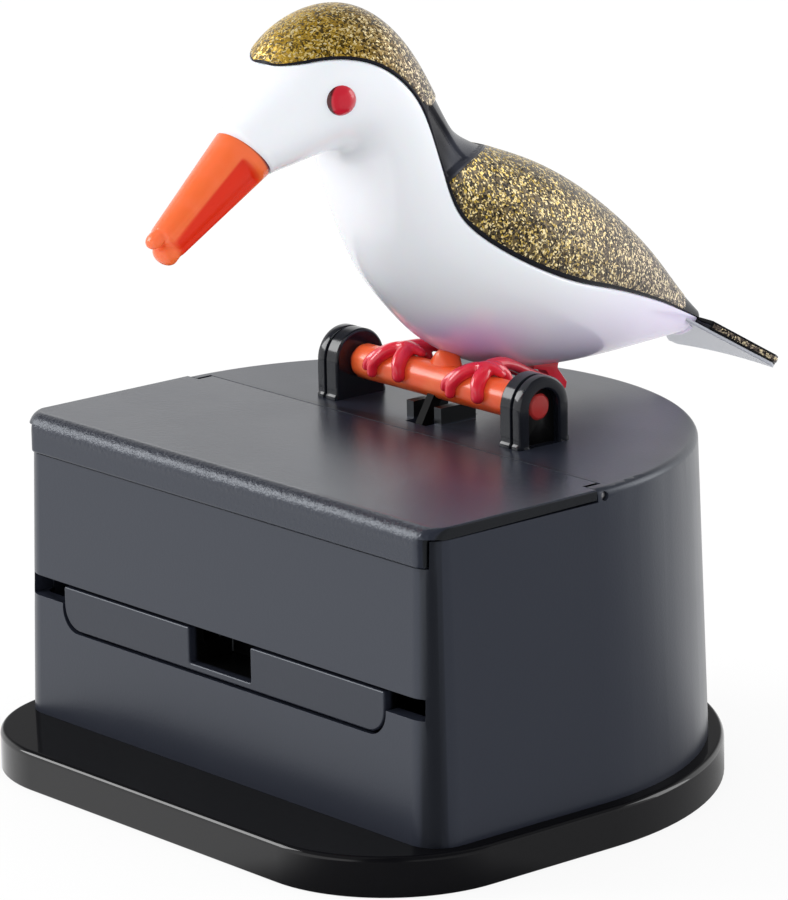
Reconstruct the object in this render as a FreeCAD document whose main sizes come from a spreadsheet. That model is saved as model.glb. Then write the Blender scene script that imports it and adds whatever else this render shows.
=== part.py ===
"""Toothpick dispenser: a bird on a perch tips forward and pushes a tray with one pick out of a box.

Frame: +Z up, the front faces -Y, +X to the right. The origin is on the underside of the plinth,
straight below the axis of the perch. Lengths are millimetres, angles are degrees.
"""
import FreeCAD, Part
import math
import os

import Sketcher

doc = FreeCAD.newDocument("toothpick_dispenser")
sheet = doc.addObject("Spreadsheet::Sheet", "dims")
nodes = []


# ------------------------------------------------------------------ sizes: numbers with their cells
class Size:
    """A number of the sheet, or a sum of them: its value now and the expression that gives it."""

    def __init__(self, value, text):
        self.value = value
        self.text = text

    def __add__(self, other):
        other = as_size(other)
        return Size(self.value + other.value, f"({self.text} + {other.text})")

    def __sub__(self, other):
        other = as_size(other)
        return Size(self.value - other.value, f"({self.text} - {other.text})")

    def __mul__(self, other):
        other = as_size(other)
        return Size(self.value * other.value, f"({self.text} * {other.text})")

    def __truediv__(self, other):
        other = as_size(other)
        return Size(self.value / other.value, f"({self.text} / {other.text})")

    def __neg__(self):
        return Size(-self.value, f"(0 - {self.text})")

    def __radd__(self, other):
        return as_size(other) + self

    def __rsub__(self, other):
        return as_size(other) - self

    def __rmul__(self, other):
        return as_size(other) * self


def as_size(number):
    """A plain number as a Size."""
    return number if isinstance(number, Size) else Size(float(number), f"({float(number):.6f})")


def sine(angle):
    return Size(math.sin(math.radians(angle.value)), f"sin({angle.text})")


def cosine(angle):
    return Size(math.cos(math.radians(angle.value)), f"cos({angle.text})")


def tangent(angle):
    return Size(math.tan(math.radians(angle.value)), f"tan({angle.text})")


def size(alias, value, note):
    """One driving dimension: a row of the sheet with its name, its number and what it is."""
    size.row += 1
    sheet.set(f"A{size.row}", alias)
    sheet.set(f"B{size.row}", str(value))
    sheet.set(f"C{size.row}", note)
    sheet.setAlias(f"B{size.row}", alias)
    return Size(float(value), f"dims.{alias}")


size.row = 0

gap = size("gap", 0.3, "clearance between pieces that move past each other")
slack = size("slack", 0.05, "radial clearance of a shaft in its hole")

# the plinth
plinth_half = size("plinth_half", 41.3, "half width of the plinth")
plinth_front = size("plinth_front", 46.7, "distance of its front edge from the perch axis")
plinth_centre = size("plinth_centre", 9.7, "distance in front of the axis of the centre of its round back")
plinth_corner = size("plinth_corner", 17.7, "radius of its front corners")
plinth_top = size("plinth_top", 4.9, "height of the plinth")
plinth_skin = size("plinth_skin", 2.2, "thickness of its top and rim")
plinth_edge = size("plinth_edge", 0.7, "rounding of its top edge")

# the box
box_half = size("box_half", 39.3, "half width of the box where it meets the plinth")
box_front = size("box_front", 36.0, "distance of its front from the perch axis, at the plinth")
box_centre = size("box_centre", 9.6, "distance in front of the axis of the centre of its round back")
box_corner = size("box_corner", 4.2, "radius of its front corners, at the plinth")
box_top = size("box_top", 42.8, "height of the deck that carries the perch")
draft = size("draft", 1.66, "lean of its walls")
wall = size("wall", 1.9, "thickness of its walls and deck")
deck_edge = size("deck_edge", 1.0, "rounding of the edge of the deck")
shoulder = size("shoulder", 41.3, "height of the side walls under the lid")
boss_radius = size("boss_radius", 2.9, "radius of the posts that take the plinth screws")
boss_x = size("boss_x", 34.9, "distance of the front posts from the middle")
boss_front_y = size("boss_front_y", 28.7, "distance of the front posts in front of the axis")
boss_high = size("boss_high", 16.0, "top of the front posts, which stand against the walls")
boss_back_x = size("boss_back_x", 19.0, "distance of the rear posts from the middle")
boss_back_y = size("boss_back_y", 14.0, "distance of the rear posts behind the axis")
screw_radius = size("screw_radius", 1.1, "radius of the plinth screws")
screw_head = size("screw_head", 2.1, "radius of their heads")
screw_length = size("screw_length", 9.0, "length of the screws below the head")

# the lid
lid_skin = size("lid_skin", 1.2, "thickness of the lid")
lid_line = size("lid_line", 6.9, "distance of the lid's rear edge in front of the perch axis")
lid_lip = size("lid_lip", 38.3, "height of the lower edge of its front lip")
lid_lip_half = size("lid_lip_half", 36.9, "half width of the front lip")
lid_lip_skin = size("lid_lip_skin", 1.5, "thickness of the front lip")
lid_barrel = size("lid_barrel", 0.95, "radius of the round rear edge that holds the pin")
lid_pin = size("lid_pin", 0.5, "radius of the lid's hinge pin")
lid_ear = size("lid_ear", 2.2, "length of the wall posts that hold the ends of the pin")

# the slot, the tray and the bed that it slides on
slot_half = size("slot_half", 37.0, "half width of the slot for the pick's ends")
slot_low = size("slot_low", 20.0, "lower edge of the slot")
slot_high = size("slot_high", 22.6, "upper edge of the slot")
tray_half = size("tray_half", 30.3, "half width of the tray")
tray_low = size("tray_low", 16.9, "lower edge of the tray's front")
tray_high = size("tray_high", 22.2, "upper edge of the tray's front")
tray_corner = size("tray_corner", 3.0, "radius of its lower corners")
tray_skin = size("tray_skin", 2.4, "thickness of its front")
tray_face = size("tray_face", 35.55, "distance of its face from the perch axis")
tray_slab_back = size("tray_slab_back", 14.0, "distance of the rear of the slab in front of the axis")
notch_half = size("notch_half", 5.8, "half width of the notch for the beak")
notch_low = size("notch_low", 17.8, "bottom of the notch")
notch_past = size("notch_past", 1.8, "depth of the notch behind the pick's groove")
pick_radius = size("pick_radius", 1.05, "radius of a toothpick")
pick_height = size("pick_height", 21.0, "height of the middle of the pick in the tray")
stem_half = size("stem_half", 5.0, "half width of the tray's stem")
stem_low = size("stem_low", 15.0, "underside of the stem")
stem_high = size("stem_high", 20.3, "top of the stem")
stem_front = size("stem_front", 12.0, "distance of the start of the stem behind the tray's face")
stem_end = size("stem_end", 8.6, "distance of the end of the stem behind the axis")
bed_half = size("bed_half", 31.8, "half width of the bed under the tray")
bed_low = size("bed_low", 13.0, "underside of the bed")
bed_front = size("bed_front", 33.3, "distance of the front of the bed from the perch axis")
bed_back = size("bed_back", 7.0, "distance of its back from the perch axis")
bed_leg = size("bed_leg", 2.0, "thickness of its legs")

# the hopper
hopper_half = size("hopper_half", 35.4, "half width of the hopper's sloping floor")
hopper_skin = size("hopper_skin", 1.6, "thickness of that floor")
hopper_lip = size("hopper_lip", 30.3, "distance of its lower lip from the perch axis")
hopper_back = size("hopper_back", 11.0, "distance of its rear wall from the perch axis")
hopper_low = size("hopper_low", 22.4, "height of its lower lip")
hopper_rise = size("hopper_rise", 33.0, "slope of the floor")
hopper_high = size("hopper_high", 40.4, "height of its rear wall")

# the perch and what holds it
perch_height = size("perch_height", 47.4, "height of the perch axis")
perch_radius = size("perch_radius", 2.15, "radius of the perch")
perch_neck = size("perch_neck", 1.75, "radius of its ends")
bracket_in = size("bracket_in", 15.0, "inner face of the brackets, from the middle")
bracket_out = size("bracket_out", 18.9, "outer face of the brackets, from the middle")
bracket_half = size("bracket_half", 3.9, "half depth of a bracket and radius of its arch")
bracket_slot = size("bracket_slot", 1.0, "depth of the slot in its outer face")
rib_in = size("rib_in", 1.9, "inner face of the ribs under the perch")
rib_out = size("rib_out", 3.2, "outer face of those ribs")
rib_half = size("rib_half", 2.8, "half depth of those ribs")
lug_half = size("lug_half", 2.3, "half width of the lug that carries the bird")
lug_high = size("lug_high", 51.2, "top of the lug")
finger_arm = size("finger_arm", 9.0, "distance of the finger's ball from the perch axis")
finger_half = size("finger_half", 1.3, "half width of the finger")
finger_skin = size("finger_skin", 0.7, "half depth of its arm")
finger_ball = size("finger_ball", 1.2, "radius of the finger's rounded end")
swing = size("swing", 62.0, "tilt of the bird from rest to pick")

# the rocker
rocker_height = size("rocker_height", 29.0, "height of the rocker's pin")
rocker_rest = size("rocker_rest", 23.4, "lean of the rocker at rest")
rocker_low = size("rocker_low", 10.57, "length of the rocker's lower arm")
rocker_high = size("rocker_high", 11.75, "length of its fork")
rocker_half = size("rocker_half", 1.5, "half thickness of the rocker")
rocker_hub = size("rocker_hub", 3.4, "radius of its hub")
rocker_ball = size("rocker_ball", 1.5, "radius of the round end of its lower arm")
fork_gap = size("fork_gap", 1.8, "half width of the fork's slot")
fork_prong = size("fork_prong", 1.5, "thickness of a prong of the fork")
fork_floor = size("fork_floor", 7.6, "distance of the floor of the fork from the pin")
pin_radius = size("pin_radius", 1.5, "radius of the rocker's pin")
stand_in = size("stand_in", 6.2, "inner face of the posts that hold the pin")
stand_out = size("stand_out", 8.4, "outer face of those posts")
stand_half = size("stand_half", 4.0, "half depth of those posts")

# the return spring
spring_radius = size("spring_radius", 2.0, "radius of the spring's coils to the middle of the wire")
spring_wire = size("spring_wire", 0.3, "radius of its wire")
spring_turns = size("spring_turns", 9, "number of coils")
spring_start = size("spring_start", 9.3, "front end of the coils, behind the axis")
spring_end = size("spring_end", 20.2, "rear end of the coils, behind the axis")
spring_height = size("spring_height", 17.6, "height of the spring")
anchor_y = size("anchor_y", 21.8, "distance of the spring's anchor behind the axis")

# the bird
shell = size("shell", 1.7, "thickness of the bird's walls")
inlay = size("inlay", 0.8, "thickness of the gold panels")
margin = size("margin", 0.6, "dark edge left round the gold panels")
beak_base = size("beak_base", 4.0, "radius of the beak at the head")
beak_tip = size("beak_tip", 2.0, "radius of the beak at its tip")
beak_length = size("beak_length", 19.2, "length of the beak with what is inside the head")
beak_fall = size("beak_fall", 38.8, "angle of the beak below level")
beak_tip_y = size("beak_tip_y", 43.4, "distance of its tip in front of the axis")
beak_tip_z = size("beak_tip_z", 69.9, "height of its tip")
beak_gap = size("beak_gap", 0.95, "half width of the notch in the tip")
beak_gap_deep = size("beak_gap_deep", 3.4, "depth of the notch in the tip")
channel_x = size("channel_x", 1.5, "distance of the floor of the channels in its sides from the middle")
channel_half = size("channel_half", 0.7, "half width of those channels")
channel_length = size("channel_length", 15.2, "length of those channels")
eye_radius = size("eye_radius", 2.0, "radius of an eye")
eye_x = size("eye_x", 7.4, "distance of an eye's centre from the middle")
eye_y = size("eye_y", 21.7, "distance of the eyes in front of the axis")
eye_z = size("eye_z", 86.6, "height of the eyes")
toe_pitch = size("toe_pitch", 3.4, "distance between the toes")
toe_half = size("toe_half", 0.75, "half width of a toe")
toe_skin = size("toe_skin", 1.1, "thickness of a toe over the perch")
foot_x = size("foot_x", 7.6, "distance of a foot from the middle")
foot_back = size("foot_back", 16.4, "distance of the end of the rear toe behind the axis")
foot_end_x = size("foot_end_x", 1.8, "distance of that end from the middle")
foot_end_z = size("foot_end_z", 44.1, "height of that end")
shank_half = size("shank_half", 0.85, "half width of the rear toe")
tail_root_y = size("tail_root_y", 37.0, "start of the tail behind the axis")
tail_root_z = size("tail_root_z", 49.9, "height of the top of the tail at its start")
tail_root_half = size("tail_root_half", 2.6, "half width of the tail at its start")
tail_end_y = size("tail_end_y", 47.5, "end of the tail behind the axis")
tail_end_z = size("tail_end_z", 42.9, "height of the top of the tail at its end")
tail_end_half = size("tail_end_half", 9.9, "half width of the tail at its end")
tail_skin = size("tail_skin", 1.0, "thickness of the tail")
fin_half = size("fin_half", 0.9, "half thickness of the fin that rests on the deck")

# Sections of the bird, from beak to tail: its upper point, its lower point (y, z) and half width.
SECTIONS = [
    (-32.6, 84.0, -26.9, 77.4, 4.35),
    (-28.0, 88.9, -22.6, 78.3, 6.6),
    (-24.9, 92.4, -18.8, 78.9, 8.2),
    (-20.1, 95.2, -15.9, 78.0, 9.3),
    (-13.8, 95.7, -14.5, 75.1, 9.6),
    (-8.4, 92.1, -13.9, 71.7, 9.5),
    (-4.8, 87.2, -13.0, 67.8, 9.3),
    (-1.9, 82.4, -11.4, 63.8, 9.3),
    (1.1, 78.8, -9.0, 60.0, 9.8),
    (6.7, 75.8, -5.1, 55.7, 11.0),
    (13.2, 73.2, -0.8, 51.9, 11.6),
    (20.0, 69.5, 5.9, 48.6, 11.0),
    (26.6, 64.7, 14.2, 47.0, 9.3),
    (32.9, 59.0, 23.0, 46.6, 7.0),
    (38.2, 53.2, 31.5, 46.7, 4.3),
    (42.3, 49.2, 38.5, 46.8, 2.0),
]
OVAL_STEPS = 8
SECTION_CELLS = ("top_y", "top_z", "low_y", "low_z", "half")

# The joint between the white shell and the dark one, seen from the side (y, z).
SEAM = [
    (-27.2, 89.9), (-22.0, 91.2), (-16.2, 89.8), (-12.0, 86.4), (-8.8, 81.7), (-6.7, 75.4),
    (-4.8, 70.3), (0.3, 65.6), (9.4, 60.7), (21.3, 56.7), (36.2, 50.9), (45.0, 47.0),
]
CROWN_LAST = 4
WING_FIRST = 5


# ------------------------------------------------------------------ helpers for bodies and sketches
def body(label):
    """A PartDesign body that becomes one node."""
    made = doc.addObject("PartDesign::Body", label)
    made.Label = label
    nodes.append(made)
    return made


def sketch(owner, name, plane="XY_Plane", level=0.0):
    """A sketch on one of the body's own planes, moved along the plane's normal by level."""
    made = owner.newObject("Sketcher::SketchObject", f"{owner.Name}_{name}")
    found = [item for item in owner.Origin.OriginFeatures if item.Role == plane]
    made.AttachmentSupport = (found[0], [""])
    made.MapMode = "FlatFace"
    made.setExpression("AttachmentOffset.Base.z", as_size(level).text)
    return made


def arc_centre(start, end, radius):
    """Centre of the left-turning arc of this radius from start to end."""
    chord = math.hypot(end[0] - start[0], end[1] - start[1])
    reach = math.sqrt(max(radius ** 2 - (chord / 2) ** 2, 0.0))
    across = (-(end[1] - start[1]) / chord, (end[0] - start[0]) / chord)
    middle = ((start[0] + end[0]) / 2, (start[1] + end[1]) / 2)
    return middle[0] + across[0] * reach, middle[1] + across[1] * reach


def bend(made, index, corner, start, end):
    """Fix an arc whose ends are fixed: by its radius, or a half circle by its centre."""
    radius = corner[2] if corner[2].value > 0 else -corner[2]
    half_round = abs(math.hypot(end[0] - start[0], end[1] - start[1]) - 2 * radius.value) < 1e-6
    if not half_round:
        rule = made.addConstraint(Sketcher.Constraint("Radius", index, radius.value))
        made.setExpression(f"Constraints[{rule}]", radius.text)
        return
    level = abs(end[0] - start[0]) > abs(end[1] - start[1])
    kind, value = ("DistanceY", corner[1]) if level else ("DistanceX", corner[0])
    value = as_size(value)
    rule = made.addConstraint(Sketcher.Constraint(kind, -1, 1, index, 3, value.value))
    made.setExpression(f"Constraints[{rule}]", value.text)


def outline(made, corners):
    """A closed outline in a sketch, its corners and radii bound to the sheet.

    A corner is (x, y), followed by a straight edge, or (x, y, radius), followed by an arc that
    turns left, and a negative radius turns right. The corners go round anticlockwise.
    """
    places = [(as_size(c[0]).value, as_size(c[1]).value) for c in corners]
    ends = []
    for number, corner in enumerate(corners):
        start = places[number]
        end = places[(number + 1) % len(corners)]
        if len(corner) == 2:
            line = Part.LineSegment(FreeCAD.Vector(*start, 0), FreeCAD.Vector(*end, 0))
            ends.append((made.addGeometry(line, False), 1, 2))
            continue
        left = corner[2].value > 0
        first, last = (start, end) if left else (end, start)
        radius = abs(corner[2].value)
        centre = arc_centre(first, last, radius)
        angles = [math.atan2(p[1] - centre[1], p[0] - centre[0]) for p in (first, last)]
        if angles[1] <= angles[0]:
            angles[1] += 2 * math.pi
        circle = Part.Circle(FreeCAD.Vector(*centre, 0), FreeCAD.Vector(0, 0, 1), radius)
        index = made.addGeometry(Part.ArcOfCircle(circle, *angles), False)
        ends.append((index, 1, 2) if left else (index, 2, 1))
        bend(made, index, corner, start, end)
    for number, (index, begin, finish) in enumerate(ends):
        follower, follower_begin, _ = ends[(number + 1) % len(ends)]
        made.addConstraint(Sketcher.Constraint("Coincident", index, finish, follower, follower_begin))
        for kind, value in (("DistanceX", corners[number][0]), ("DistanceY", corners[number][1])):
            value = as_size(value)
            rule = made.addConstraint(Sketcher.Constraint(kind, -1, 1, index, begin, value.value))
            made.setExpression(f"Constraints[{rule}]", value.text)


def ring(made, x, y, radius):
    """A circle in a sketch, bound to the sheet."""
    centre = FreeCAD.Vector(as_size(x).value, as_size(y).value, 0)
    circle = Part.Circle(centre, FreeCAD.Vector(0, 0, 1), as_size(radius).value)
    index = made.addGeometry(circle, False)
    rule = made.addConstraint(Sketcher.Constraint("Radius", index, as_size(radius).value))
    made.setExpression(f"Constraints[{rule}]", as_size(radius).text)
    for kind, value in (("DistanceX", x), ("DistanceY", y)):
        value = as_size(value)
        rule = made.addConstraint(Sketcher.Constraint(kind, -1, 1, index, 3, value.value))
        made.setExpression(f"Constraints[{rule}]", value.text)


def rectangle(made, low_x, high_x, low_y, high_y):
    outline(made, [(low_x, low_y), (high_x, low_y), (high_x, high_y), (low_x, high_y)])


def extrude(kind, owner, made, length, both=False, back=False, lean=None):
    """A pad or pocket of a sketch; both is half each way, back is against its usual direction."""
    feature = owner.newObject(f"PartDesign::{kind}", f"{made.Name}_{kind.lower()}")
    feature.Profile = made
    feature.setExpression("Length", as_size(length).text)
    feature.Midplane = both
    feature.Reversed = back
    if lean is not None:
        feature.setExpression("TaperAngle", lean.text)
    made.Visibility = False
    doc.recompute()
    return feature


def pad(owner, made, length, **ways):
    return extrude("Pad", owner, made, length, **ways)


def pocket(owner, made, length, **ways):
    """A cut; it stops the script where it removes nothing."""
    before = owner.Shape.Volume
    feature = extrude("Pocket", owner, made, length, **ways)
    if owner.Shape.Volume > before - 1e-6:
        raise RuntimeError(f"{feature.Name} cuts nothing")
    return feature


def round_edges(owner, radius, wanted):
    """A fillet on every edge of the body that wanted picks out."""
    base = owner.Tip
    names = [f"Edge{number + 1}" for number, edge in enumerate(base.Shape.Edges) if wanted(edge)]
    feature = owner.newObject("PartDesign::Fillet", f"{owner.Name}_rounding_{len(owner.Group)}")
    feature.Base = (base, names)
    feature.setExpression("Radius", radius.text)
    doc.recompute()


# ------------------------------------------------------------------ helpers for Part objects
def block(name, low, high):
    """A box between two corners."""
    made = doc.addObject("Part::Box", name)
    for side, first, last in zip(("Length", "Width", "Height"), low, high):
        made.setExpression(side, (as_size(last) - first).text)
    for letter, first in zip("xyz", low):
        made.setExpression(f"Placement.Base.{letter}", as_size(first).text)
    return made


def rod(name, low_x, high_x, y, z, radius):
    """A cylinder along X between two places."""
    made = doc.addObject("Part::Cylinder", name)
    made.setExpression("Radius", as_size(radius).text)
    made.setExpression("Height", (as_size(high_x) - low_x).text)
    made.Placement.Rotation = FreeCAD.Rotation(FreeCAD.Vector(0, 1, 0), 90)
    for letter, value in zip("xyz", (low_x, y, z)):
        made.setExpression(f"Placement.Base.{letter}", as_size(value).text)
    return made


def post(name, x, y, low_z, high_z, radius):
    """A cylinder along Z between two heights."""
    made = doc.addObject("Part::Cylinder", name)
    made.setExpression("Radius", as_size(radius).text)
    made.setExpression("Height", (as_size(high_z) - low_z).text)
    for letter, value in zip("xyz", (x, y, low_z)):
        made.setExpression(f"Placement.Base.{letter}", as_size(value).text)
    return made


def fuse(name, parts):
    made = doc.addObject("Part::MultiFuse", name)
    made.Shapes = parts
    made.Refine = True
    return made


def cut(name, base, tool):
    made = doc.addObject("Part::Cut", name)
    made.Base = base
    made.Tool = tool
    return made


def common(name, first, second):
    made = doc.addObject("Part::MultiCommon", name)
    made.Shapes = [first, second]
    return made


def solid(name, shape):
    """A surface-built solid that no parametric feature gives; its sizes were read from the sheet."""
    made = doc.addObject("Part::Feature", name)
    made.Shape = shape
    made.Placement = FreeCAD.Placement()
    return made


def node(label, made):
    """Make this object a node."""
    made.Label = label
    nodes.append(made)
    return made


# ------------------------------------------------------------------ plinth and box
def d_outline(half, front, centre, corner):
    """A plan with straight sides, rounded front corners and a half-round back."""
    return [
        (corner - half, -front), (half - corner, -front, corner),
        (half, corner - front), (half, -centre, half),
        (-half, -centre), (-half, corner - front, corner),
    ]


def build_plinth():
    plinth = body("base_plate")
    plan = sketch(plinth, "plan")
    outline(plan, d_outline(plinth_half, plinth_front, plinth_centre, plinth_corner))
    pad(plinth, plan, plinth_top)
    hollow = sketch(plinth, "hollow")
    outline(hollow, d_outline(plinth_half - plinth_skin, plinth_front - plinth_skin,
                              plinth_centre, plinth_corner - plinth_skin))
    pocket(plinth, hollow, plinth_top - plinth_skin, back=True)
    holes = sketch(plinth, "holes")
    for x, y in screw_places():
        ring(holes, x, y, screw_radius)
    pocket(plinth, holes, plinth_top, back=True)
    round_edges(plinth, plinth_edge, lambda edge: edge.BoundBox.ZMin > plinth_top.value - 1e-4
                and edge.BoundBox.DiagonalLength > 3 * screw_head.value)


def screw_places():
    """Centres of the four plinth screws: the front pair, then the rear pair."""
    pairs = ((boss_x, -boss_front_y), (boss_back_x, boss_back_y))
    return [(side * x, y) for x, y in pairs for side in (-1, 1)]


def lean_in(height):
    """How far the walls lean inwards between the plinth and a height."""
    return tangent(draft) * (as_size(height) - plinth_top)


def build_housing():
    box = body("housing")
    plan = sketch(box, "plan", level=plinth_top)
    outline(plan, d_outline(box_half, box_front, box_centre, box_corner))
    pad(box, plan, box_top - plinth_top, lean=-draft)
    round_edges(box, deck_edge, lambda edge: edge.BoundBox.ZMin > box_top.value - 1e-4)
    hollow = sketch(box, "hollow", level=plinth_top)
    outline(hollow, d_outline(box_half - wall, box_front - wall, box_centre, box_corner - wall))
    pocket(box, hollow, box_top - wall - plinth_top, back=True, lean=-draft)

    for number, top in ((0, boss_high), (2, box_top - wall)):
        posts = sketch(box, f"posts_{number}", level=plinth_top)
        for x, y in screw_places()[number:number + 2]:
            ring(posts, x, y, boss_radius)
        pad(box, posts, top - plinth_top)
    pilots = sketch(box, "pilots", level=plinth_top)
    for x, y in screw_places():
        ring(pilots, x, y, screw_radius)
    pocket(box, pilots, screw_length + 1, back=True)

    # the seat of the lid: the front of the deck goes, and the pin's posts stay at the hinge line
    seat = sketch(box, "seat", level=box_top)
    ear_in = box_half - lean_in(box_top) - lid_ear
    reach = box_half + 1
    ear_front = lid_line + 2 * lid_barrel + gap
    outline(seat, [(-reach, -box_front - 1), (reach, -box_front - 1), (reach, -ear_front),
                   (ear_in, -ear_front), (ear_in, -lid_line), (-ear_in, -lid_line),
                   (-ear_in, -ear_front), (-reach, -ear_front)])
    pocket(box, seat, box_top - shoulder)
    mouth = sketch(box, "mouth", level=box_top)
    mouth_half = box_half - lean_in(box_top) - wall
    rectangle(mouth, -mouth_half, mouth_half, wall + lean_in(box_top) - box_front, -lid_line)
    pocket(box, mouth, box_top - shoulder + wall + 1)
    step = sketch(box, "step", plane="XZ_Plane", level=box_front + 1)
    rectangle(step, -lid_lip_half - gap, lid_lip_half + gap, lid_lip - gap, box_top)
    pocket(box, step, lid_lip_skin + gap + 1 + lean_in(lid_lip))
    bore = sketch(box, "bore", plane="YZ_Plane")
    ring(bore, -lid_line - lid_barrel - gap / 2, box_top - lid_barrel, lid_pin + slack)
    pocket(box, bore, 2 * box_half, both=True)

    # slot and tray opening
    slot = sketch(box, "slot", plane="XZ_Plane", level=box_front + 1)
    rectangle(slot, -slot_half, slot_half, slot_low, slot_high)
    pocket(box, slot, wall + 3)
    door = sketch(box, "door", plane="XZ_Plane", level=box_front + 1)
    half = tray_half + gap
    low = tray_low - gap
    outline(door, [(tray_corner - half, low), (half - tray_corner, low, tray_corner),
                   (half, low + tray_corner), (half, slot_high), (-half, slot_high),
                   (-half, low + tray_corner, tray_corner)])
    pocket(box, door, wall + 3)

    # ribs under the perch and the slot between them for the finger
    ribs = sketch(box, "ribs", level=box_top)
    for side in (-1, 1):
        ends = sorted((side * rib_in, side * rib_out), key=lambda item: item.value)
        rectangle(ribs, ends[0], ends[1], -rib_half, rib_half)
    pad(box, ribs, perch_height - perch_radius - gap - box_top)
    way = sketch(box, "way", plane="YZ_Plane")
    under = (perch_height - box_top + wall) * tangent(swing / 2) + finger_ball + 2 * gap
    mouth = (perch_height - box_top) * tangent(swing / 2) + finger_skin / cosine(swing / 2) + 2 * gap
    outline(way, [(-under, box_top - wall), (under, box_top - wall), (mouth, box_top), (mouth, box_top + 1),
                  (-mouth, box_top + 1), (-mouth, box_top)])
    pocket(box, way, 2 * rib_in, both=True)


def build_screws():
    parts = []
    for number, (x, y) in enumerate(screw_places()):
        under = plinth_top - plinth_skin
        parts.append(post(f"screw_{number}_shank", x, y, under, under + screw_length, screw_radius))
        parts.append(post(f"screw_{number}_head", x, y, under - 1.6, under, screw_head))
    node("base_screws", fuse("base_screws", parts))


# ------------------------------------------------------------------ lid
def build_lid():
    lid = body("lid")
    half = box_half - lean_in(box_top)
    front = box_front - lean_in(box_top)
    corner = box_corner - lean_in(box_top)
    ear_in = half - lid_ear - gap
    ear_front = lid_line + 2 * lid_barrel + 2 * gap
    hinge = lid_line + lid_barrel + gap / 2
    plan = sketch(lid, "plan", level=box_top - lid_skin)
    outline(plan, [
        (corner - half, -front), (half - corner, -front, corner), (half, corner - front),
        (half, -ear_front), (ear_in, -ear_front), (ear_in, -hinge), (-ear_in, -hinge),
        (-ear_in, -ear_front), (-half, -ear_front), (-half, corner - front, corner),
    ])
    pad(lid, plan, lid_skin)
    lip = sketch(lid, "lip", plane="YZ_Plane")
    lip_front = -front - 0.5 * lean_in(lid_lip)
    outline(lip, [
        (lip_front, lid_lip), (lip_front + lid_lip_skin, lid_lip),
        (lip_front + lid_lip_skin, box_top - lid_skin), (lip_front + 2 * lid_lip_skin, box_top - lid_skin),
        (lip_front + 2 * lid_lip_skin, box_top), (lip_front + lid_lip_skin, box_top, lid_lip_skin),
        (lip_front, box_top - lid_lip_skin),
    ])
    pad(lid, lip, 2 * lid_lip_half, both=True)
    barrel = sketch(lid, "barrel", plane="YZ_Plane")
    ring(barrel, -hinge, box_top - lid_barrel, lid_barrel)
    pad(lid, barrel, 2 * ear_in, both=True)
    bore = sketch(lid, "bore", plane="YZ_Plane")
    ring(bore, -hinge, box_top - lid_barrel, lid_pin + slack)
    pocket(lid, bore, 2 * box_half, both=True)
    pin_half = half - 0.4
    node("lid_hinge_pin", rod("lid_hinge_pin", -pin_half, pin_half, -hinge, box_top - lid_barrel, lid_pin))


# ------------------------------------------------------------------ tray, bed and hopper
def build_tray():
    tray = body("tray")
    panel = sketch(tray, "panel", plane="XZ_Plane", level=tray_face)
    outline(panel, [
        (tray_corner - tray_half, tray_low), (tray_half - tray_corner, tray_low, tray_corner),
        (tray_half, tray_low + tray_corner), (tray_half, tray_high), (-tray_half, tray_high),
        (-tray_half, tray_low + tray_corner, tray_corner),
    ])
    pad(tray, panel, tray_skin, back=True)
    slab = sketch(tray, "slab", level=tray_low)
    slab_half = tray_half - tray_corner
    rectangle(slab, -slab_half, slab_half, -tray_face + tray_skin / 2, -tray_slab_back)
    pad(tray, slab, tray_high - 0.2 - tray_low)
    stem = sketch(tray, "stem", level=stem_low)
    rectangle(stem, -stem_half, stem_half, stem_front - tray_face, stem_end)
    pad(tray, stem, stem_high - stem_low)
    groove = sketch(tray, "groove", plane="YZ_Plane")
    front = -tray_face + tray_skin
    width = 2 * pick_radius + 0.4
    floor = pick_height - pick_radius
    rectangle(groove, front, front + width, floor, tray_high + 1)
    pocket(tray, groove, 2 * box_half, both=True)
    notch = sketch(tray, "notch", plane="XZ_Plane", level=tray_face + 1)
    rectangle(notch, -notch_half, notch_half, notch_low, tray_high + 1)
    pocket(tray, notch, 1 + tray_skin + width + notch_past)
    # the pocket that takes the rocker's round end
    reach = rocker_low * sine(rocker_rest)
    room = rocker_ball + gap + 0.1
    well = sketch(tray, "well", level=stem_high)
    rectangle(well, -rocker_half - gap, rocker_half + gap, reach - room, reach + room)
    pocket(tray, well, stem_high - rocker_height + rocker_low + rocker_ball + gap)
    # the peg that the front end of the spring is pushed on
    peg = sketch(tray, "peg", level=spring_height - 1.3)
    rectangle(peg, -0.7, 0.7, stem_end - 0.5, stem_end + 1.9)
    pad(tray, peg, 2.6)


def build_bed():
    bed = body("tray_bed")
    plan = sketch(bed, "plan", level=bed_low)
    rectangle(plan, -bed_half, bed_half, -bed_front, -bed_back)
    pad(bed, plan, tray_low - gap - bed_low)
    way = sketch(bed, "way", level=stem_low - gap)
    rectangle(way, -stem_half - gap, stem_half + gap, -bed_front - 1, -bed_back + 1)
    pocket(bed, way, tray_low, back=True)
    legs = sketch(bed, "legs", level=plinth_top)
    for side in (-1, 1):
        ends = sorted((side * (bed_half - 6), side * (bed_half - 6 - bed_leg)), key=lambda item: item.value)
        rectangle(legs, ends[0], ends[1], -bed_front + 1, -bed_back - 1)
    pad(bed, legs, bed_low - plinth_top)


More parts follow.
